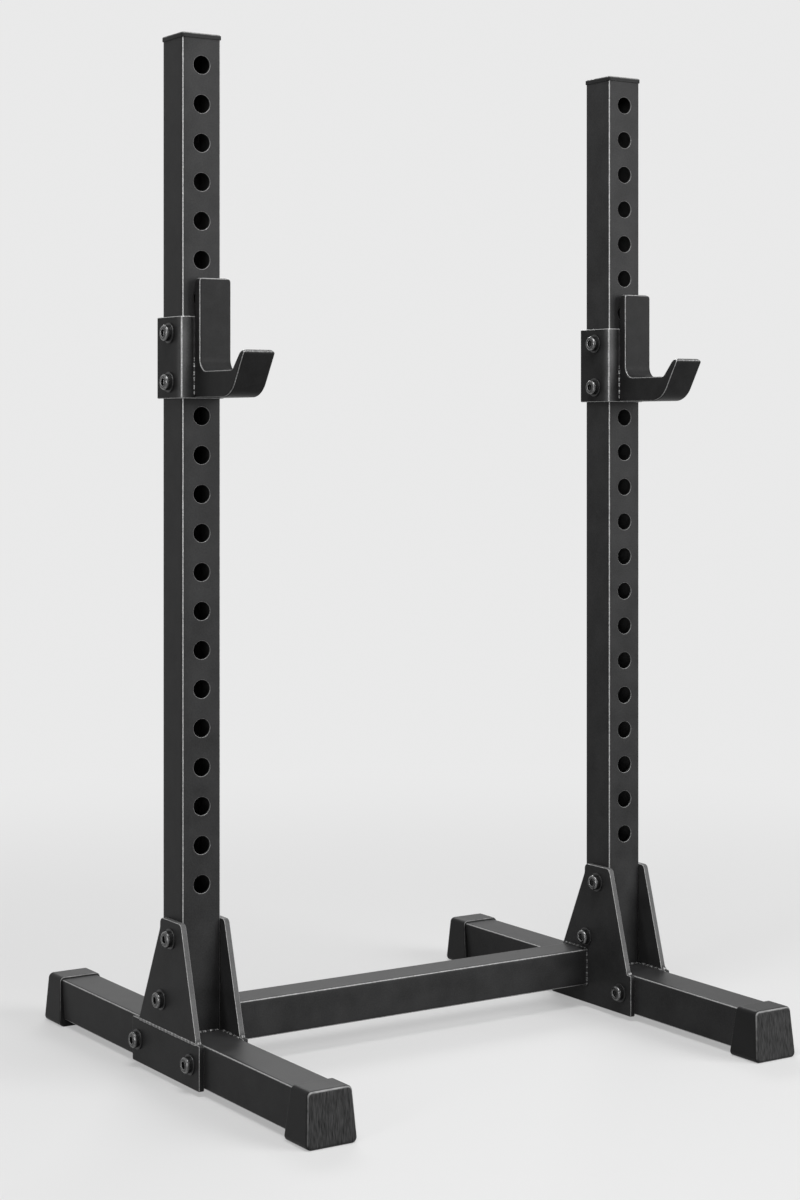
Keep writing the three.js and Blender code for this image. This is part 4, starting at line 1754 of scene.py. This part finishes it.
@dataclass(frozen=True)
class Hook:
    """A hook: its sleeve round the upright, its cradle, its pin, its screws and its weld."""

    side: str
    plate: float = 0.005
    bend: float = 0.008
    inner_bend: float = 0.003
    soft_reach: float = 0.012
    pad: float = 0.0185
    floor: float = 0.046
    fillet: float = 0.022
    floor_length: float = 0.113
    lip_rise: float = 0.033
    lip_lean: float = 0.03
    lip_top: float = 0.014
    lip_corner: float = 0.005
    lip_foot: float = 0.01
    underside: float = 0.128
    heel_radius: float = 0.048
    front_corner: float = 0.0075
    sleeve_edge: Edge = Edge(0.0018, band=0.0006)
    sleeve_spacing: float = 0.004
    sleeve_power: float = 8
    front_bend_rub_and_highlight: ClassVar[dict] = {0: 0.75, 1: 0.75}
    cradle_edge: Edge = Edge(0.0036, band=0.0011, steps=6, rub=0.75, power=6)
    cradle_steps: int = 10
    cradle_spacing: float = 0.0025
    cradle_power: float = 4
    # Bright lines along the pad's top front corner and the lip's top: painted highlight and worn
    # coat.
    top_corner_rub_and_highlight: ClassVar[dict] = {1: 0.6, 5: 0.5, 4: 0.3}
    bead: Bead = Bead(
        0.003, ripple=0.005, wander=0.45, ripple_depth=0.1, ripple_wear=0.3, worn_share=0.4
    )
    bead_gap: float = 0.001
    pin_edge: float = 0.003
    pin_band: float = 0.002
    pin_steps: int = 4

    @property
    def body(self) -> str:
        """The body that the hook rides on."""
        return f"{self.side}_hook"

    def build(self) -> None:
        """Makes every piece of the hook."""
        self.build_sleeve()
        self.build_cradle()
        self.build_pin()
        self.build_bead()
        for place in ("upper", "lower"):
            stem = f"{self.side}_{place}"
            FASTENER.screw(f"{stem}_sleeve_screw", self.body, f"{stem}_clamp_screw")
            FASTENER.ring(f"{stem}_sleeve_washer", self.body, f"{stem}_clamp_washer")

    def build_sleeve(self) -> None:
        """Makes the sleeve: a U-shaped outline with round bends, carried up its height.

        A painted sheen beside its front bends, standing in for the light on their rounded faces,
        fades as a bell curve of the distance from the corner.
        """
        node = f"{self.side}_hook_bracket"
        box, post = Box.of(node), Box.of(f"{self.side}_upright")
        outer = box.size.x / 2
        inner = outer - self.plate
        front, rear = box.low.y - post.centre.y, box.high.y - post.centre.y
        corners = (
            (-outer, front, self.bend),
            (outer, front, self.bend),
            (outer, rear, 0.0),
            (inner, rear, 0.0),
            (inner, front + self.plate, self.inner_bend),
            (-inner, front + self.plate, self.inner_bend),
            (-inner, rear, 0.0),
            (-outer, rear, 0.0),
        )
        # A bright line down each front bend: painted highlight and worn coat.
        wear = corner_wear_and_highlight(corners, CORNER_STEPS, self.front_bend_rub_and_highlight, self.sleeve_power)
        loop = np.concatenate([rounded_loop(corners), wear[:, None]], axis=-1)
        outline = denser(loop, self.sleeve_spacing)
        corner = np.hypot(np.abs(outline[:, 0]) - outer, outline[:, 1] - front)
        # Painted sheen: a lighter tint beside the front bends, for the light on their rounded
        # faces.
        soft = np.exp(-((corner / self.soft_reach) ** 2))
        skin = Skin(Lie.ALONG_Z, (box.centre.x, post.centre.y, box.low.z))
        shape, wear = outline[:, :2], outline[:, 2]
        slab(skin, shape, box.size.z, self.sleeve_edge, rim_wear=wear, rim_region=soft)
        skin.piece(f"{self.side}_hook_sleeve", Slot.HOOK, self.body, node)

    def build_cradle(self) -> None:
        """Makes the cradle: its side profile, carried across its width with rounded edges.

        Seen from the front, quarter circles draw in the corners of the pad's top and the lip's top.
        """
        node = f"{self.side}_hook_arm"
        box = Box.of(node)
        low, top = box.low.z, box.high.z
        floor = low + self.floor
        foot = self.pad + self.floor_length
        crest = foot + self.lip_lean
        profile = (
            (0.0, low, 0.0),
            (self.underside, low, self.heel_radius),
            (crest + self.lip_top, floor + self.lip_rise, self.lip_corner),
            (crest, floor + self.lip_rise, self.lip_corner),
            (foot, floor, self.lip_foot),
            (self.pad, floor, self.fillet),
            (self.pad, top, self.lip_corner),
            (0.0, top, self.lip_corner),
        )
        corners = [(-reach, height, radius) for reach, height, radius in reversed(profile)]
        half = box.size.x / 2

        def narrow(points: Array) -> Array:
            """Draws the sides in towards the middle below the two tops.

            Args:
                points: The cradle's points, in its own axes.

            Returns:
                The points, with their sides drawn in.
            """
            on_lip = points[..., 0] < -foot
            drawn = np.where(
                on_lip,
                shrink_at_top(points[..., 1], floor + self.lip_rise, self.front_corner),
                shrink_at_top(points[..., 1], top, self.front_corner),
            )
            across = half + (points[..., 2] - half) * (1 - drawn / half)
            return np.stack([points[..., 0], points[..., 1], across], axis=-1)

        wear = corner_wear_and_highlight(corners, self.cradle_steps, self.top_corner_rub_and_highlight, self.cradle_power)
        loop = np.concatenate([rounded_loop(corners, self.cradle_steps), wear[:, None]], axis=-1)
        outline = denser(loop, self.cradle_spacing)
        skin = Skin(Lie.ALONG_X, (box.low.x, box.high.y, 0))
        shape, wear = outline[:, :2], outline[:, 2]
        slab(skin, shape, box.size.x, self.cradle_edge, rim_wear=wear, bend=narrow)
        skin.piece(f"{self.side}_hook_cradle", Slot.HOOK, self.body, node)

    def build_pin(self) -> None:
        """Makes the pin, with a round nose."""
        node = f"{self.side}_hook_peg"
        box = Box.of(node)
        radius, nose, band = box.size.x / 2, self.pin_edge, self.pin_band
        rings = [(radius, box.low.y, 0, 0), (radius, box.high.y - nose - band, 0, 0.2)]
        for angle in np.linspace(0, QUARTER_TURN, self.pin_steps + 1):
            run, rise = math.sin(angle), math.cos(angle)
            rings.append((radius - nose * (1 - rise), box.high.y - nose * (1 - run), 0, 0.8))
        rings.append((radius - nose - band, box.high.y, 0, 0.1))
        skin = Skin(Lie.ALONG_Y, (box.centre.x, 0, box.centre.z))
        turned(skin, rings)
        skin.piece(f"{self.side}_hook_pin", Slot.PEG, self.body, node)

    def build_bead(self) -> None:
        """Makes the weld bead in the corner of the sleeve's front and the cradle's left face."""
        node = f"{self.side}_hook_weld"
        box = Box.of(node)
        ends = [(box.high.x, box.high.y, z) for z in (box.low.z, box.high.z - self.bead_gap)]
        out, ahead = np.array([[-1.0, 0, 0]] * 2), np.array([[0, -1.0, 0]] * 2)
        skin = Skin()
        self.bead.build(skin, np.array(ends), out, ahead)
        skin.piece(f"{self.side}_hook_bead", Slot.BEAD, self.body, node)


@dataclass(frozen=True)
class CrossRail:
    """The square tube between the two sides, and the weld bead round each of its ends."""

    bead: Bead = Bead(
        0.004, ripple=0.0055, ripple_depth=0.06, wander=0.3, ripple_wear=0.2, rub=0.5
    )
    gap: float = 0.0003
    probe: float = 0.001

    def build(self) -> None:
        """Makes the tube and its two beads."""
        box = Box.of("cross_tube")
        centre = box.centre
        skin = Skin(Lie.ALONG_X, (0, centre.y, centre.z))
        SquareTube(box.size.y, box.low.x, box.high.x).build(skin)
        skin.piece("cross_rail", Slot.FRAME, "frame", "cross_tube")
        loop = square_loop(box.size.y / 2 + self.gap, SquareTube.bend)
        normal = loop - inset_loop(loop, self.probe)
        for side, x, way in (("left", box.low.x, 1.0), ("right", box.high.x, -1.0)):
            flat = np.zeros((len(loop), 1))
            path = Lie.ALONG_X.place(np.concatenate([loop, flat], axis=-1), (x, centre.y, centre.z))
            out = Lie.ALONG_X.place(np.concatenate([normal, flat], axis=-1), (0, 0, 0))
            away = np.broadcast_to(np.array([way, 0.0, 0.0]), path.shape)
            skin = Skin()
            self.bead.build(skin, path, out, away, closed=True)
            node = f"{side}_cross_tube_weld"
            skin.piece(f"{side}_cross_rail_bead", Slot.BEAD, "frame", node)


# Stage, light and camera


@dataclass(frozen=True)
class Lamp:
    """One soft lamp, aimed at a place on the stand. Its size is its width and its height."""

    name: str
    place: tuple
    size: tuple
    radiance: float
    aim: tuple = (0.0, 0.0, 0.8)

    def build(self) -> None:
        """Makes the lamp: its power is its radiance times its area times pi."""
        light = bpy.data.lights.new(self.name, "AREA")
        light.shape = "RECTANGLE"
        light.size, light.size_y = self.size
        light.energy = self.radiance * self.size[0] * self.size[1] * math.pi
        made = add_object(self.name, light)
        made.location = self.place
        sight = Vector(self.aim) - Vector(self.place)
        made.rotation_euler = sight.to_track_quat("-Z", "Y").to_euler()


@dataclass(frozen=True)
class Stage:
    """The pale floor, the pale surround, which soft light takes at its fill, and the lamps."""

    surround: float = 0.82
    fill: float = 0.1
    floor_color: float = 0.76
    floor_fill: float = 0.25
    floor_roughness: float = 0.9
    floor_specular: float = 0.1
    radius: float = 40.0
    rim_steps: int = 96
    fade_from: float = 0.8
    fade_to: float = 3.4
    fade_start: float = 0.45
    lamps: tuple = (
        Lamp("front_right_softbox", (3.0, -4.6, 2.4), (4.0, 4.0), 5.6),
        Lamp("overhead_softbox", (-0.9, -1.2, 3.9), (1.9, 1.9), 7.6),
        Lamp("rear_softbox", (2.6, 5.0, 4.4), (3.6, 2.2), 6.8),
        Lamp("left_strip", (-6.0, -2.8, 1.4), (0.8, 3.6), 10.0),
    )

    def build(self) -> None:
        """Makes the surround, the floor and the lamps."""
        world = bpy.data.worlds.new("pale_surround")
        world.use_nodes = True
        tree = Tree(world.node_tree)
        background = world.node_tree.nodes["Background"]
        background.inputs["Color"].default_value = (1.0, 1.0, 1.0, 1.0)
        tree.link(tree.mix(tree.seen(), self.fill, self.surround), background.inputs["Strength"])
        bpy.context.scene.world = world
        self.build_floor()
        for lamp in self.lamps:
            lamp.build()

    def build_floor(self) -> None:
        """Makes the floor: a disc whose finish fades into the surround with the distance."""
        loop = circle_loop((0, 0), self.radius, self.rim_steps)
        points = np.concatenate([loop, np.zeros((len(loop), 1))], axis=-1)
        mesh = bpy.data.meshes.new("studio_floor")
        mesh.from_pydata(points[::-1].tolist(), [], [list(range(len(loop)))])
        mesh.materials.append(self.floor_material())
        floor = add_object("studio_floor", mesh)

    def floor_material(self) -> bpy.types.Material:
        """Makes the floor's finish: matt and pale, and glowing like the surround far away.

        Returns:
            The new material.
        """
        material = bpy.data.materials.new("pale_floor")
        material.use_nodes = True
        tree = Tree(material.node_tree)
        nodes = material.node_tree.nodes
        seen = tree.seen()
        shader = nodes["Principled BSDF"]
        shader.inputs["Roughness"].default_value = self.floor_roughness
        shader.inputs["Specular IOR Level"].default_value = self.floor_specular
        tones = ((*[tone] * 3, 1.0) for tone in (self.floor_fill, self.floor_color))
        tree.link(tree.mix_color(seen, *tones), shader.inputs["Base Color"])
        place = tree.node("ShaderNodeTexCoord").outputs["Object"]
        length = tree.node("ShaderNodeVectorMath", operation="LENGTH")
        tree.link(place, length.inputs[0])
        fade = tree.node("ShaderNodeMapRange", interpolation_type="SMOOTHSTEP")
        tree.link(length.outputs["Value"], fade.inputs["Value"])
        limits = {"From Min": self.fade_from, "From Max": self.fade_to, "To Min": self.fade_start}
        for name, value in limits.items():
            fade.inputs[name].default_value = value
        glow = tree.node("ShaderNodeEmission")
        tree.link(tree.mix(seen, self.fill, self.surround), glow.inputs["Strength"])
        mixed = tree.node("ShaderNodeMixShader")
        tree.link(fade.outputs["Result"], mixed.inputs["Fac"])
        tree.link(shader.outputs["BSDF"], mixed.inputs[1])
        tree.link(glow.outputs["Emission"], mixed.inputs[2])
        tree.link(mixed.outputs["Shader"], nodes["Material Output"].inputs["Surface"])
        return material


@dataclass(frozen=True)
class CameraRig:
    """The level camera, fitted to the photograph of 800 by 1200 pixels."""

    place: tuple = (-2.38025, -3.63355, 1.1299)
    heading: float = -33.02
    focal_px: float = 2336.59
    horizon_row: float = 429.66
    frame_height_px: float = 1200.0
    film: float = 36.0

    def build(self) -> None:
        """Makes the camera. Its shift brings the horizon to its row."""
        data = bpy.data.cameras.new("view_camera")
        data.sensor_width = self.film
        data.lens = self.film * self.focal_px / self.frame_height_px
        data.shift_y = self.horizon_row / self.frame_height_px - 0.5
        camera = add_object("view_camera", data)
        camera.location = self.place
        camera.rotation_euler = (QUARTER_TURN, 0, math.radians(self.heading))
        bpy.context.scene.camera = camera


def main() -> None:
    """Builds the camera, the stand and the stage in order."""
    logging.basicConfig(level=logging.INFO, format="%(name)s %(message)s")
    bpy.context.scene.view_settings.view_transform = "Standard"
    CameraRig().build()
    for side, outward in zip(SIDES, (-1, 1)):
        Post(side).build()
        Skid(side).build()
        GussetSet(side, outward).build()
        Hook(side).build()
    CrossRail().build()
    Stage().build()


if __name__ == "__main__":
    main()
